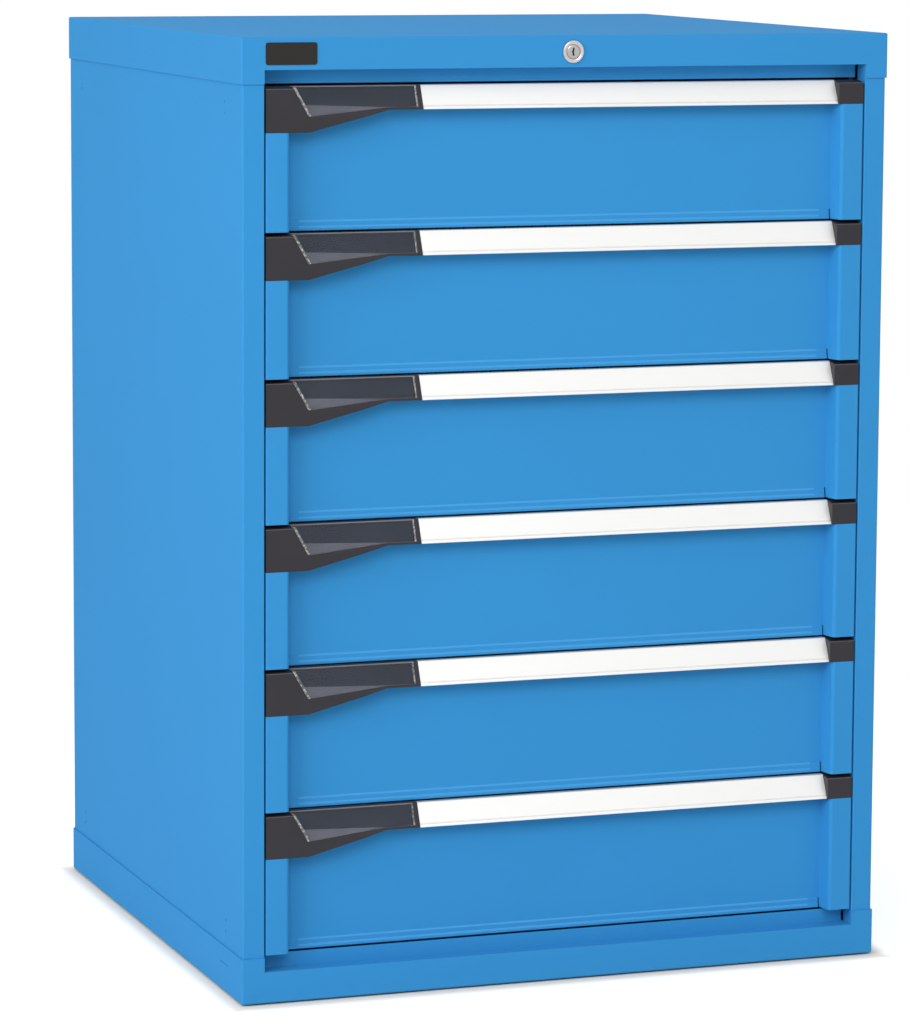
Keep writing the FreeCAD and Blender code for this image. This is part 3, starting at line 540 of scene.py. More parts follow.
def finishes():
    """All materials by the record's slot names, and a few more, made once."""
    if not FINISHES:
        chosen = colours()
        FINISHES.update({
            "blue_paint": powder_coat("blue_coat", chosen.coat, COAT_ROUGHNESS),
            "front_coat": powder_coat("blue_front_coat", chosen.coat, COAT_ROUGHNESS, bend_highlights=True),
            "grey_paint": powder_coat("grey_coat", chosen.tray_coat, TRAY_ROUGHNESS),
            "zinc_steel": zinc_plate("zinc_plate", chosen.zinc),
            "anodised_aluminium": anodised("anodised_grip", chosen.grip),
            "black_plastic": moulded("black_moulding", chosen.moulding, highlit_crown=True),
            "clear_plastic": clear_plastic("clear_window"),
            "lock_metal": nickel("nickel_lock", chosen.lock),
            "window_end": painted_glints("frosted_end"),
            "window_rim": painted_rim_highlight("satin_rim", RIM_HIGHLIGHT_TONE),
            "pocket_dark": moulded("pocket_shade", POCKET_TONE),
            "ledge_painted_light": moulded("pocket_ledge", LEDGE_PAINTED_LIGHT_TONE),
            "badge": moulded("badge_plate", BADGE_TONE, 0.45),
            "lock_face": keyed_nickel("nickel_plug", chosen.lock),
        })
    return FINISHES


# Meshes


def add_piece(name, mesh, body, slot, finish=None, replaced=()):
    """An object at the origin that rides on a body and has one finish."""
    piece = bpy.data.objects.new(name, mesh)
    bpy.context.scene.collection.objects.link(piece)
    mesh.materials.clear()
    mesh.materials.append(finishes()[finish or slot])
    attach(piece, body)
    if replaced:
        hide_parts(*replaced)


def body_name(node):
    """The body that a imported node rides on."""
    return NODES[node].parent.name.removeprefix("body:")


def node_slot(node):
    """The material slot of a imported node."""
    for item in frame["record"]["subparts"]:
        if item["node"] == node:
            return item["material_slot"]
    raise ValueError("no slot for %s" % node)


def merged(node):
    """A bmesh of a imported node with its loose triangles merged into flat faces."""
    shape = bmesh.new()
    shape.from_mesh(NODES[node].data)
    bmesh.ops.remove_doubles(shape, verts=shape.verts, dist=MERGE)
    bmesh.ops.dissolve_limit(shape, angle_limit=FLAT, verts=shape.verts, edges=shape.edges)
    return shape


def to_mesh(shape, name):
    """A mesh from a bmesh, which is freed."""
    mesh = bpy.data.meshes.new(name)
    shape.to_mesh(mesh)
    shape.free()
    return mesh


def evaluated(mesh, set_up):
    """The mesh with modifiers applied, which set_up adds to a passing object."""
    carrier = bpy.data.objects.new("carrier", mesh)
    bpy.context.scene.collection.objects.link(carrier)
    set_up(carrier)
    depsgraph = bpy.context.evaluated_depsgraph_get()
    result = bpy.data.meshes.new_from_object(carrier.evaluated_get(depsgraph))
    carrier.modifiers.clear()
    bpy.data.objects.remove(carrier)
    result.name = mesh.name
    bpy.data.meshes.remove(mesh)
    return result


def rounded(mesh, radius, steps=2, cuts=()):
    """The mesh with its sharp edges rounded, then any cuts, shaded as smooth bends."""
    mesh.shade_smooth()

    def set_up(carrier):
        bevel = carrier.modifiers.new("edges", "BEVEL")
        bevel.width = radius
        bevel.segments = steps
        bevel.limit_method = "ANGLE"
        bevel.angle_limit = SHARP
        bevel.use_clamp_overlap = False
        for tree, values in cuts:
            add_tree(carrier, tree, values)
        weighted = carrier.modifiers.new("shading", "WEIGHTED_NORMAL")
        weighted.weight = 50

    return evaluated(mesh, set_up)


def stand_in(node, mesh, finish=None):
    """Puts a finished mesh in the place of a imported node."""
    add_piece("%s_finished" % node, mesh, body_name(node), node_slot(node), finish, (node,))


def dress(node, radius, steps=2, cuts=(), shape=None, finish=None):
    """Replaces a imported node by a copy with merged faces, rounded edges and any cuts."""
    mesh = to_mesh(shape or merged(node), "%s_finished" % node)
    stand_in(node, rounded(mesh, radius, steps, cuts), finish)


def split(shape, chosen, place, normal):
    """Cuts the faces for which chosen() holds where a plane crosses them."""
    faces = [face for face in shape.faces if chosen(face)]
    edges = dict.fromkeys(edge for face in faces for edge in face.edges)
    verts = dict.fromkeys(vertex for face in faces for vertex in face.verts)
    bmesh.ops.bisect_plane(shape, geom=faces + list(edges) + list(verts),
                           plane_co=place, plane_no=normal)


def join_rings(shape, rings, ends=False):
    """Closes the walls between rings of vertices that follow each other, and both ends."""
    faces = []
    for first, second in zip(rings, rings[1:]):
        for index in range(len(first)):
            after = (index + 1) % len(first)
            faces.append(shape.faces.new(
                (first[index], second[index], second[after], first[after])))
    if ends:
        faces += [shape.faces.new(rings[0]), shape.faces.new(rings[-1][::-1])]
    bmesh.ops.recalc_face_normals(shape, faces=faces)


def block(shape, *outlines):
    """Adds the solid between two outlines with as many points to a bmesh."""
    rings = [[shape.verts.new(point) for point in outline] for outline in outlines]
    join_rings(shape, rings, ends=True)


def prism(shape, outline, depth):
    """Adds a prism to a bmesh: an outline of points, pushed by a vector."""
    block(shape, outline, [Vector(point) + Vector(depth) for point in outline])


def turned(profile, centre, name, hollow, steps=72):
    """A mesh turned about an axis along Y from (radius, y) points: a ring or a solid."""
    shape = bmesh.new()
    rings = []
    for radius, y in profile:
        ring = []
        for step in range(steps):
            turn = 2 * math.pi * step / steps
            ring.append(shape.verts.new((centre.x + radius * math.cos(turn), y,
                                         centre.z + radius * math.sin(turn))))
        rings.append(ring)
    if hollow:
        join_rings(shape, rings + rings[:1])
    else:
        join_rings(shape, rings, ends=True)
    return to_mesh(shape, name)


def less(mesh, cutter):
    """The mesh with another mesh taken away."""
    tool = bpy.data.objects.new("tool", cutter)
    bpy.context.scene.collection.objects.link(tool)

    def set_up(carrier):
        cut = carrier.modifiers.new("cut", "BOOLEAN")
        cut.solver = "EXACT"
        cut.object = tool

    result = evaluated(mesh, set_up)
    bpy.data.objects.remove(tool)
    bpy.data.meshes.remove(cutter)
    return result


# Geometry Nodes for what repeats


def node_group(name, fields):
    """A Geometry Nodes tree with named inputs, and the wires of those inputs."""
    tree = bpy.data.node_groups.new(name, "GeometryNodeTree")
    for field, kind in fields:
        tree.interface.new_socket(field, in_out="INPUT", socket_type=kind)
    tree.interface.new_socket("Geometry", in_out="OUTPUT", socket_type="NodeSocketGeometry")
    graph = Graph(tree)
    wires = {field: graph.node("NodeGroupInput", output=field) for field, _ in fields}
    return graph, wires


def close_group(graph, geometry, material):
    """Ends a tree with real geometry and its material."""
    real = graph.node("GeometryNodeRealizeInstances", None, {"Geometry": geometry})
    done = graph.node("GeometryNodeSetMaterial", None, {"Geometry": real, "Material": material})
    graph.node("NodeGroupOutput", None, {"Geometry": done})
    return graph.tree


def add_tree(carrier, tree, values):
    """A Geometry Nodes modifier whose inputs are set by their identifiers."""
    modifier = carrier.modifiers.new(tree.name, "NODES")
    modifier.node_group = tree
    for item in tree.interface.items_tree:
        if item.in_out == "INPUT" and item.name in values:
            modifier[item.identifier] = values[item.name]


ROW_FIELDS = [("Geometry", "NodeSocketGeometry"), ("Count", "NodeSocketInt"),
              ("Start", "NodeSocketVector"), ("Step", "NodeSocketVector"),
              ("Size", "NodeSocketVector"), ("Material", "NodeSocketMaterial")]


def row_of(graph, wires, item):
    """A row of one item: Count of them from Start, a Step apart, scaled by Size."""
    line = graph.node("GeometryNodeMeshLine", {"mode": "OFFSET"}, {
        "Count": wires["Count"], "Start Location": wires["Start"], "Offset": wires["Step"]})
    return graph.node("GeometryNodeInstanceOnPoints", None, {
        "Points": line, "Instance": item, "Scale": wires["Size"]})


def round_head(graph):
    """A smooth ball of radius 1."""
    ball = graph.node("GeometryNodeMeshUVSphere", None, {
        "Segments": 20, "Rings": 10, "Radius": 1.0})
    return graph.node("GeometryNodeSetShadeSmooth", None, {"Geometry": ball})


def stud_tree():
    """A row of low domed heads."""
    graph, wires = node_group("studs", ROW_FIELDS)
    return close_group(graph, row_of(graph, wires, round_head(graph)), wires["Material"])


def cut_tree(name, make_cutter):
    """A row of cutters taken out of the geometry."""
    graph, wires = node_group(name, ROW_FIELDS)
    cutters = graph.node("GeometryNodeRealizeInstances", None, {
        "Geometry": row_of(graph, wires, make_cutter(graph))})
    cut = graph.node("GeometryNodeMeshBoolean", {
        "operation": "DIFFERENCE", "solver": "EXACT"}, {
            "Mesh 1": wires["Geometry"], "Mesh 2": cutters})
    return close_group(graph, cut, wires["Material"])


def union_tree():
    """Solids that touch, made one."""
    graph, wires = node_group("union", [("Geometry", "NodeSocketGeometry")])
    whole = graph.node("GeometryNodeMeshBoolean", {"operation": "UNION", "solver": "EXACT"}, {
        "Mesh 2": wires["Geometry"], "Self Intersection": True, "Hole Tolerant": True})
    graph.node("NodeGroupOutput", None, {"Geometry": whole})
    return graph.tree


def unit_block(graph):
    """A cube with sides of 1."""
    return graph.node("GeometryNodeMeshCube", None, {"Size": (1, 1, 1)})


def row(start, step, count, size, slot):
    """The named inputs of a row."""
    return {"Start": start, "Step": step, "Count": count, "Size": size,
            "Material": finishes()[slot]}


def studs(name, body, slot, rows, size):
    """Low heads in rows, each row given as (start, step, count), in one mesh."""
    tree = stud_tree()
    whole = bmesh.new()
    for start, step, count in rows:
        values = row(start, step, count, size, slot)
        part = evaluated(bpy.data.meshes.new("row"), lambda item: add_tree(item, tree, values))
        whole.from_mesh(part)
        bpy.data.meshes.remove(part)
    mesh = to_mesh(whole, name)
    mesh.shade_smooth()
    add_piece(name, mesh, body, slot)


# Operators, one for each group of like pieces


class PieceOperator(bpy.types.Operator):
    """Base of the operators: it runs make() and raises what goes wrong."""

    bl_options = {"REGISTER", "UNDO"}

    def execute(self, context):
        """Makes the pieces."""
        self.make()
        return {"FINISHED"}


class DressOperator(PieceOperator):
    """Base of the operators that only round edges: of nodes, and of parts of every drawer."""

    nodes = ()
    parts = ()
    edge = "metal_edge"
    steps = 2

    def make(self):
        """Dresses each node with the same edge."""
        of_drawers = [node for part in self.parts for node in drawer_nodes(part)]
        for node in list(self.nodes) + of_drawers:
            dress(node, getattr(sizes(), self.edge), self.steps)


class CABINET_OT_body(PieceOperator):
    """Coated sheets of the body: base, cover, sides, rear and uprights"""

    bl_idname = "cabinet.body"
    bl_label = "Body sheets"

    def make(self):
        """Rounds the edges of every body sheet and presses the marks into the sides."""
        edge = sizes().sheet_edge
        radius = sizes().mark_radius
        dimples = cut_tree("pressed_marks", round_head)
        for side, node in ((-1, "left_side_panel"), (1, "right_side_panel")):
            low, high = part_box(node)
            outer_x = side * (max(abs(low.x), abs(high.x)) + radius * MARK_OUT)
            cuts = [(dimples, row((outer_x, y * MM, z * MM), (0, 0, step * MM), count,
                                  (radius,) * 3, "blue_paint"))
                    for y, z, step, count in MARK_ROWS]
            dress(node, edge, cuts=cuts)
        outer_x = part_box("base")[1].x
        dashes = cut_tree("pressed_dashes", unit_block)
        cuts = [(dashes, row((side * outer_x, DASH_Y, DASH_Z), (0, 0, 0), 1, DASH_SIZE,
                             "blue_paint"))
                for side in (-1, 1)]
        dress("base", edge, cuts=cuts, shape=bent_foot("base", sizes().foot_bend))
        for node in ("top_cover", "rear_panel"):
            dress(node, edge)
        dress("uprights", edge, 1)


def bent_foot(node, radius):
    """A merged copy of a node whose outer lower edge is lifted, and bent at a radius."""
    shape = merged(node)
    low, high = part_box(node)
    middle, half = (low + high) / 2, (high - low) / 2

    def in_flange(point):
        return point.z < low.z + FOOT_TOP

    for axis in (0, 1):
        for side in (-1, 1):
            place = middle.copy()
            place[axis] += side * (half[axis] - FOOT_SLOPE)
            normal = Vector((0, 0, 0))
            normal[axis] = side
            split(shape, lambda face: all(in_flange(vertex.co) for vertex in face.verts),
                  place, normal)
    for vertex in shape.verts:
        if in_flange(vertex.co):
            inside = min(half[axis] - abs(vertex.co[axis] - middle[axis]) for axis in (0, 1))
            vertex.co.z += FOOT_LIFT * max(0.0, 1 - inside / FOOT_SLOPE)
    reach = radius + MERGE

    def outer(point):
        return (point.z < low.z + FOOT_LIFT + MERGE
                and (abs(point.x) > high.x - reach or point.y < low.y + reach
                     or point.y > high.y - reach))

    edges = [edge for edge in shape.edges if all(outer(vertex.co) for vertex in edge.verts)]
    bmesh.ops.bevel(shape, geom=edges, offset=radius, segments=4, profile=0.5, affect="EDGES")
    return shape


class CABINET_OT_fronts(PieceOperator):
    """Coated drawer fronts"""

    bl_idname = "cabinet.fronts"
    bl_label = "Drawer fronts"

    def make(self):
        """Rounds the edges of the fronts, after the small steps in their lower bands."""
        for node in drawer_nodes("front"):
            dress(node, sizes().sheet_edge, shape=stepped_band(node), finish="front_coat")


def stepped_band(node):
    """A merged front whose bent lower edge comes forward in two small steps."""
    shape = merged(node)
    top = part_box(node)[0].z + BAND_HEIGHT * MM

    def in_band(point):
        return abs(point.x) < (BAND_HALF + 0.5) * MM and point.z < top - MERGE

    for share, _ in BAND_STEPS[1:-1]:
        split(shape, lambda face: any(in_band(vertex.co) for vertex in face.verts),
              (0, 0, top - share * BAND_HEIGHT * MM), (0, 0, 1))
    for vertex in shape.verts:
        if in_band(vertex.co):
            below = (top - vertex.co.z) / (BAND_HEIGHT * MM)
            vertex.co.y += (below - stepped(below)) * BAND_RISE * MM
    return shape


def stepped(below):
    """Share of the way forward at a share of the height below the bend."""
    for (start, first), (end, last) in zip(BAND_STEPS, BAND_STEPS[1:]):
        if below <= end + MERGE:
            return first + (last - first) * (below - start) / (end - start)
    return 1.0


class CABINET_OT_grips(DressOperator):
    """Anodised grip profiles"""

    bl_idname = "cabinet.grips"
    bl_label = "Grips"

    parts = ("handle",)


class CABINET_OT_label_holders(PieceOperator):
    """Label holders with their clear windows"""

    bl_idname = "cabinet.label_holders"
    bl_label = "Label holders"

    def make(self):
        """Holder, window with its thick edges, and the pocket behind it, of each drawer."""
        for number in DRAWER_NUMBERS:
            dress("drawer_%d_label_holder" % number, sizes().plastic_edge, 3)
            make_window(number)


def front_outline(node):
    """Corners of the largest face that looks forward, counter-clockwise, and its normal."""
    shape = merged(node)
    face = max((face for face in shape.faces if face.normal.y < -0.5),
               key=lambda face: face.calc_area())
    corners = [vertex.co.copy() for vertex in face.verts]
    normal = face.normal.copy()
    shape.free()
    return corners, normal


def steep(along):
    """Whether an edge of the window is one of its ends, and not a long edge."""
    return abs(along.normalized().x) < 0.9


def inset(corners, normal, edge_width):
    """The outline drawn inwards, each edge by the width that edge_width(middle, along) gives."""
    lines = []
    for index, start in enumerate(corners):
        end = corners[(index + 1) % len(corners)]
        along = (end - start).normalized()
        inward = normal.cross(along)
        lines.append((start + inward * edge_width((start + end) / 2, along), along))
    drawn = []
    for (start, along), (other, across) in zip(lines[-1:] + lines[:-1], lines):
        drawn.append(intersect_line_line(start, start + along, other, other + across)[0])
    return drawn


def make_window(number):
    """Clear plate, its thick edges with painted highlights, the dark pocket and the ledge behind,
    painted lighter as if lit.
    """
    node = "drawer_%d_label_window" % number
    corners, normal = front_outline(node)
    top = max(corner.z for corner in corners)
    centre_x = sum(corner.x for corner in corners) / len(corners)

    def edge_width(middle, along):
        if steep(along):
            return END_LEFT if middle.x < centre_x else END_RIGHT
        return RIM_TOP if middle.z > top - 1 * MM else RIM_LOW

    outer = inset(corners, normal, lambda middle, along: OUTER_INSET)
    inner = inset(corners, normal, edge_width)
    plate = -normal * sizes().window_plate

    def add(part, mesh, slot, finish=None, replaced=()):
        add_piece("%s_%s" % (node, part), mesh, body_name(node), slot, finish, replaced)

    slot = node_slot(node)
    clear = bmesh.new()
    prism(clear, [point + plate * CLEAR_AT for point in inner], plate * (1 - CLEAR_AT))
    add("clear", rounded(to_mesh(clear, "clear"), CLEAR_EDGE, 1), slot, replaced=(node,))

    ends, rims = bmesh.new(), bmesh.new()
    face_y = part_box(node.replace("window", "holder"))[0].y + END_REACH
    for index, corner in enumerate(corners):
        after = (index + 1) % len(corners)
        is_end = steep(corners[after] - corner)
        outline = [outer[index], outer[after], inner[after], inner[index]]
        front = outline
        if is_end and corner.x < centre_x:
            front = [Vector((point.x, face_y, point.z)) for point in outline]
        block(ends if is_end else rims, front, [point + plate for point in outline])
    for part, shape, finish in (("ends", ends, "window_end"), ("rims", rims, "window_rim")):
        add(part, rounded(to_mesh(shape, part), END_EDGE, 1), slot, finish)

    pocket, ledge = bmesh.new(), bmesh.new()
    for shape, behind in ((pocket, POCKET_AT), (ledge, LEDGE_AT)):
        prism(shape, [point + plate * behind for point in outer], plate * BACKING)
    left = min(corner.x for corner in corners)
    bmesh.ops.bisect_plane(ledge, geom=ledge.verts[:] + ledge.edges[:] + ledge.faces[:],
                           plane_co=(left, 0, top - sizes().ledge_drop),
                           plane_no=(-LEDGE_FALL, 0, 1), clear_outer=True)
    bmesh.ops.holes_fill(ledge, edges=ledge.edges)
    bmesh.ops.recalc_face_normals(ledge, faces=ledge.faces)
    add("pocket", to_mesh(pocket, "pocket"), "black_plastic", "pocket_dark")
    # the ledge is painted lighter, as if lit from above
    add("ledge", to_mesh(ledge, "ledge"), "black_plastic", "ledge_painted_light")


class CABINET_OT_end_caps(DressOperator):
    """Black mouldings at the right ends of the grips"""

    bl_idname = "cabinet.end_caps"
    bl_label = "End caps"

    parts = ("end_cap",)
    edge = "plastic_edge"
    steps = 3


class CABINET_OT_trays(PieceOperator):
    """Drawer trays with divider slots"""

    bl_idname = "cabinet.trays"
    bl_label = "Trays"

    def make(self):
        """One tray shape with slots in its four walls, moved to each drawer, and its rivets."""
        nodes = drawer_nodes("tray")
        form = slotted_tray(nodes[0])
        first_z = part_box(nodes[0])[0].z
        for node in nodes:
            mesh = form.copy()
            mesh.transform(Matrix.Translation((0, 0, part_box(node)[0].z - first_z)))
            stand_in(node, mesh)
            low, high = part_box(node.replace("tray", "rails"))
            inner_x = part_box(node)[1].x - TRAY_HEM - TRAY_SHEET
            level = (low.z + high.z) / 2
            step = (high.y - low.y - 4 * RIVET_MARGIN) / (TRAY_RIVETS - 1)
            first_y = low.y + 2 * RIVET_MARGIN
            rows = [((side * inner_x, first_y, level), (0, step, 0), TRAY_RIVETS)
                    for side in (-1, 1)]
            studs("%s_rivets" % node, body_name(node), "zinc_steel", rows, TRAY_RIVET)
        bpy.data.meshes.remove(form)


def slotted_tray(node):
    """The tray as one sheet, with rounded edges and a raster of slots in its walls."""
    tray = evaluated(to_mesh(merged(node), "tray"), lambda item: add_tree(item, union_tree(), {}))
    low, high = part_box(node)
    rear_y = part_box(node.replace("tray", "rails"))[1].y
    wall_x = high.x - TRAY_HEM - TRAY_SHEET / 2
    pitch, width, height = sizes().slot_pitch, sizes().slot_width, sizes().slot_height
    level = high.z - SLOT_DROP - height / 2
    slots = cut_tree("divider_slots", unit_block)
    cuts = []

    def cut(start, step, count, size):
        cuts.append((slots, row(start, step, count, size, "grey_paint")))

    along = int((rear_y - low.y - 2 * pitch) / pitch)
    first_y = (low.y + rear_y - (along - 1) * pitch) / 2
    for x in (-wall_x, wall_x):
        cut((x, first_y, level), (0, pitch, 0), along, (4 * TRAY_SHEET, width, height))
    across = int(2 * (wall_x - pitch) / pitch)
    first_x = -(across - 1) * pitch / 2
    for y in (low.y + TRAY_SHEET / 2, rear_y - TRAY_SHEET / 2):
        cut((first_x, y, level), (pitch, 0, 0), across, (width, 2 * TRAY_SHEET, height))
    notch_step = 2 * (wall_x - TRAY_SHEET / 2) - NOTCH[0]
    cut((-notch_step / 2, low.y, low.z), (notch_step, 0, 0), 2, NOTCH)
    return rounded(tray, sizes().sheet_edge, 1, cuts)


class CABINET_OT_runners(DressOperator):
    """Zinc plated runners of the drawers"""

    bl_idname = "cabinet.runners"
    bl_label = "Runners"

    nodes = ("left_fixed_rails", "right_fixed_rails")
    parts = ("rails", "mid_rails")
    steps = 1


class CABINET_OT_locking(PieceOperator):
    """Central lock, its shaft and the locking bar"""

    bl_idname = "cabinet.locking"
    bl_label = "Locking"

    def make(self):
        """Turned lock ring and plug with a keyhole, then the shaft and the bar."""
        make_lock()
        for node in ("lock_shaft", "locking_bar"):
            dress(node, sizes().metal_edge)


def make_lock():
    """The ring with a rounded face, and the plug with its keyhole."""
    low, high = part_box("lock_housing")
    centre = (low + high) / 2
    ring = high.x - centre.x
    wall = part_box("top_cover")[0].y
    plug_low, plug_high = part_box("lock_plug")
    core = plug_high.x - centre.x
    bore = core + 0.08 * MM
    barrel = bore + 1.9 * MM
    crest = (ring + bore) / 2 + 0.4 * MM
    # both faces as (radius, depth behind the foremost point in mm)
    ring_face = ((bore, 1.3), (bore + 0.25 * MM, 0.75), (bore + 0.9 * MM, 0.42),
                 (crest - 0.5 * MM, 0.05), (crest, 0), (crest + 0.7 * MM, 0.08),
                 (ring - 0.5 * MM, 0.35), (ring - 0.1 * MM, 0.85), (ring, 1.3))
    plug_face = ((2.5 * MM, 0), (4.8 * MM, 0.04), (6.3 * MM, 0.15), (core - 0.45 * MM, 0.4),
                 (core - 0.1 * MM, 0.8), (core, 1.3))
    profile = ([(bore, high.y)] + [(radius, low.y + depth * MM) for radius, depth in ring_face]
               + [(ring, wall), (barrel, wall), (barrel, high.y)])
    mesh = turned(profile, centre, "lock_ring", hollow=True)
    mesh.shade_smooth()
    stand_in("lock_housing", mesh)

    front = plug_low.y
    profile = [(radius, front + depth * MM) for radius, depth in plug_face]
    plug = turned(profile + [(core, plug_high.y)], centre, "plug", hollow=False)
    key = bmesh.new()
    outline = [(centre.x + x * MM, front - KEY_AHEAD, centre.z + z * MM) for x, z in KEYHOLE]
    prism(key, outline, (0, KEY_LENGTH, 0))
    plug = less(plug, to_mesh(key, "keyhole"))
    plug.shade_smooth()
    plug = evaluated(plug, lambda item: item.modifiers.new("shading", "WEIGHTED_NORMAL"))
    stand_in("lock_plug", plug, "lock_face")


class CABINET_OT_badge(PieceOperator):
    """Bare badge plate on the header"""

    bl_idname = "cabinet.badge"
    bl_label = "Badge plate"

    def make(self):
        """A thin plate with round corners, without lettering."""
        front_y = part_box("top_cover")[0].y
        left, right, low, high = BADGE_BOX
        radius = BADGE_CORNER
        steps = 6
        outline = []
        corners = ((right - radius, high - radius, 0), (left + radius, high - radius, 90),
                   (left + radius, low + radius, 180), (right - radius, low + radius, 270))
        for x, z, start in corners:
            for step in range(steps + 1):
                turn = math.radians(start + 90 * step / steps)
                outline.append((x + radius * math.cos(turn), front_y - BADGE_SHEET,
                                z + radius * math.sin(turn)))
        shape = bmesh.new()
        prism(shape, outline, (0, BADGE_SHEET, 0))
        mesh = rounded(to_mesh(shape, "badge_plate"), 0.25 * MM, 2)
        add_piece("badge_plate", mesh, "cabinet", "black_plastic", "badge")


class CABINET_OT_fixings(PieceOperator):
    """Rivets at the rear"""

    bl_idname = "cabinet.fixings"
    bl_label = "Fixings"

    def make(self):
        """Two columns of rivets in the folds of the side panels."""
        low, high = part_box("rear_panel")
        count = sizes().rivet_count
        step = (0, 0, (high.z - low.z - 2 * RIVET_MARGIN) / (count - 1))
        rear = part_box("left_side_panel")[1].y
        rows = [((side * (high.x - RIVET_INSET), rear, low.z + RIVET_MARGIN), step, count)
                for side in (-1, 1)]
        radius = sizes().rivet_radius
        studs("rear_rivets", "cabinet", "zinc_steel", rows, (radius, radius / 4, radius))


class CABINET_OT_stage(PieceOperator):
    """Floor, light and camera"""

    bl_idname = "cabinet.stage"
    bl_label = "Stage"

    def make(self):
        """A pale floor, a white world, two soft lamps and the camera."""
        make_floor()
        make_world()
        make_lamps()
        make_camera()


# Stage


def backdrop_rays(graph):
    """1 for rays that should see the plain white background: camera, glossy, transmission."""
    rays = [graph.node("ShaderNodeLightPath", output=name)
            for name in ("Is Camera Ray", "Is Glossy Ray", "Is Transmission Ray")]
    return sum(rays).math("MINIMUM", 1.0)


def make_floor():
    """A white floor with the cabinet's shadow, partly painted as its own light fading out near
    the cabinet, plain white further out.
    """
    material, graph = new_material("pale_floor")
    glow, white = (graph.node("ShaderNodeEmission", None, {"Color": WHITE, "Strength": level})
                   for level in (FLOOR_GLOW, 1.0))
    low, high = (Vector(corner) for corner in CAD_BOX)
    middle, half = (low + high) / 2, (high - low) / 2
    beside = (graph.axis("X") - middle.x).math("ABSOLUTE") - half.x
    before = (graph.axis("Y") - middle.y).math("ABSOLUTE") - half.y
    # near the cabinet the floor's own light fades out: a painted contact shadow around its foot
    clear = graph.slide(beside.math("MAXIMUM", before), 0.0, GLOW_REACH)
    tone = graph.mix(clear, FLOOR_FOOT, FLOOR_TONE)
    shade = graph.node("ShaderNodeBsdfDiffuse", None, {"Color": tone})
    lit = graph.node("ShaderNodeAddShader", None, {0: shade, 1: glow})
    distance = graph.node("ShaderNodeVectorMath", {"operation": "LENGTH"}, {0: graph.place()},
                          output="Value")
    far = graph.slide(distance, WHITE_FROM, WHITE_TO)
    seen = graph.blend(far, graph.blend(clear, shade, lit), white)
    whole = graph.blend(backdrop_rays(graph), shade, seen)
    graph.node("ShaderNodeOutputMaterial", None, {"Surface": whole})
    shape = bmesh.new()
    bmesh.ops.create_grid(shape, x_segments=1, y_segments=1, size=FLOOR_HALF)
    mesh = to_mesh(shape, "floor")
    mesh.materials.append(material)
    floor = bpy.data.objects.new("floor", mesh)
    bpy.context.scene.collection.objects.link(floor)


def make_world():
    """An even white world: full white for what the camera sees, softer as light."""
    world = bpy.data.worlds.new("studio")
    bpy.context.scene.world = world
    world.use_nodes = True
    world.node_tree.nodes.clear()
    graph = Graph(world.node_tree)
    light, white = (graph.node("ShaderNodeBackground", None, {"Color": WHITE, "Strength": level})
                    for level in (WORLD_LIGHT, 1.0))
    mixed = graph.blend(backdrop_rays(graph), light, white)
    graph.node("ShaderNodeOutputWorld", None, {"Surface": mixed})


def add_lamp(name, place, target, width, height, power, shines):
    """A rectangular soft lamp that looks at a point, and may show as a highlight."""
    lamp = bpy.data.lights.new(name, "AREA")
    lamp.shape = "RECTANGLE"
    lamp.size = width
    lamp.size_y = height
    lamp.energy = power
    holder = bpy.data.objects.new(name, lamp)
    bpy.context.scene.collection.objects.link(holder)
    aim = Vector(target) - Vector(place)
    holder.matrix_world = (Matrix.Translation(place)
                           @ aim.to_track_quat("-Z", "Y").to_matrix().to_4x4())
    holder.visible_glossy = shines


def make_lamps():
    """A large lamp high in front, one at the front left, and one over the top."""
    for name, place, target, width, height, share, shines in LAMPS:
        add_lamp(name, place, target, width, height, sizes().light_strength * share, shines)


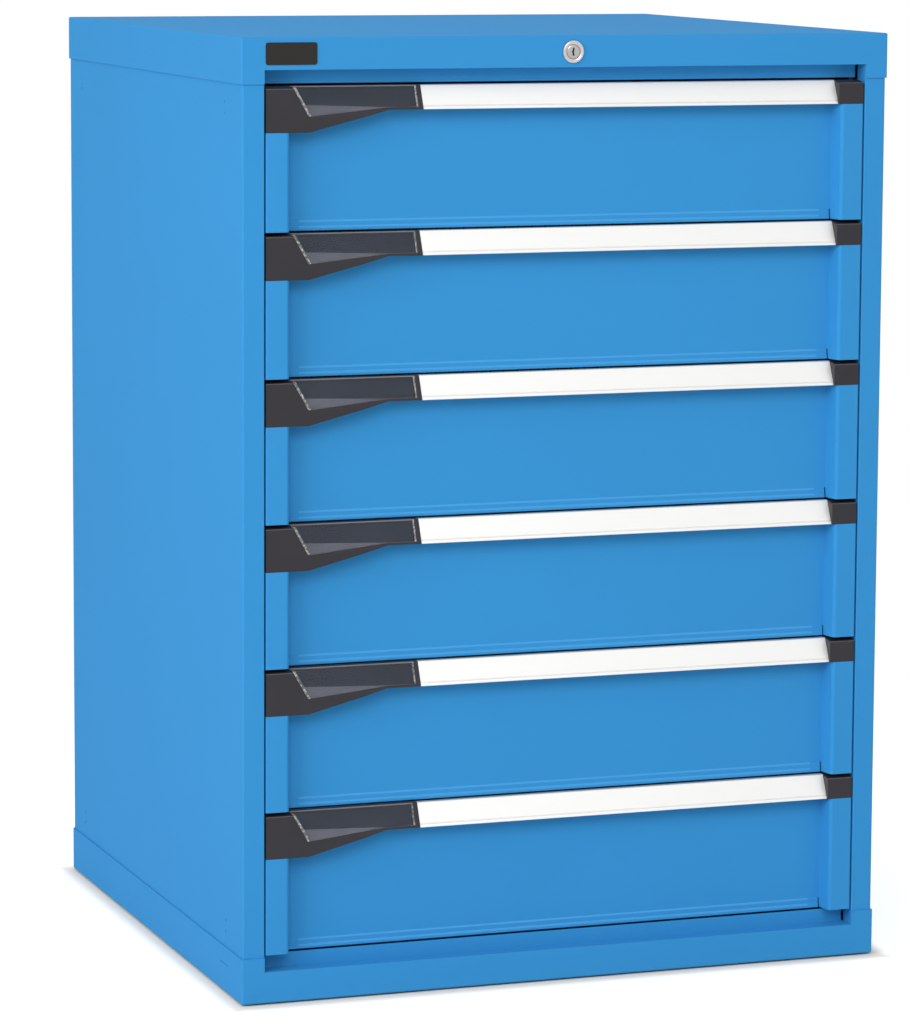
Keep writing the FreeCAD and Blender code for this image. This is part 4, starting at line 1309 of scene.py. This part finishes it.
def make_camera():
    """The camera of the photograph."""
    camera = bpy.data.cameras.new("camera")
    camera.lens = FOCAL_LENGTH
    camera.sensor_width = SENSOR_WIDTH
    camera.shift_y = LENS_SHIFT
    camera.clip_end = FAR_CLIP
    holder = bpy.data.objects.new("camera", camera)
    bpy.context.scene.collection.objects.link(holder)
    yaw, pitch, roll = (math.radians(turn) for turn in CAMERA_TURNS)
    holder.matrix_world = (Matrix.Translation(CAMERA_PLACE) @ Matrix.Rotation(yaw, 4, "Z")
                           @ Matrix.Rotation(pitch, 4, "X") @ Matrix.Rotation(roll, 4, "Y")
                           @ Matrix.Rotation(math.radians(90), 4, "X"))
    bpy.context.scene.camera = holder


# Panel and registration


OPERATORS = (CABINET_OT_body, CABINET_OT_fronts, CABINET_OT_grips, CABINET_OT_label_holders,
             CABINET_OT_end_caps, CABINET_OT_trays, CABINET_OT_runners, CABINET_OT_locking,
             CABINET_OT_badge, CABINET_OT_fixings, CABINET_OT_stage)


class CABINET_PT_pieces(bpy.types.Panel):
    """Lists the operators and the settings."""

    bl_idname = "CABINET_PT_pieces"
    bl_label = "Drawer cabinet"
    bl_space_type = "VIEW_3D"
    bl_region_type = "UI"
    bl_category = "Cabinet"

    def draw(self, context):
        """Settings first, then one button for each operator."""
        layout = self.layout
        for group in (context.scene.cabinet_sizes, context.scene.cabinet_colours):
            for name in type(group).__annotations__:
                layout.prop(group, name)
        for operator in OPERATORS:
            layout.operator(operator.bl_idname)


CLASSES = (CabinetColours, CabinetSizes) + OPERATORS + (CABINET_PT_pieces,)


def register():
    """Registers the classes and hangs the settings on the scene."""
    for item in CLASSES:
        bpy.utils.register_class(item)
    bpy.types.Scene.cabinet_colours = PointerProperty(type=CabinetColours)
    bpy.types.Scene.cabinet_sizes = PointerProperty(type=CabinetSizes)


def unregister():
    """Takes away what register() added."""
    del bpy.types.Scene.cabinet_sizes
    del bpy.types.Scene.cabinet_colours
    for item in reversed(CLASSES):
        bpy.utils.unregister_class(item)


def main():
    """Makes every piece."""
    register()
    bpy.context.scene.view_settings.view_transform = "Standard"
    for operator in OPERATORS:
        group, name = operator.bl_idname.split(".")
        getattr(getattr(bpy.ops, group), name)()


if __name__ == "__main__":
    main()
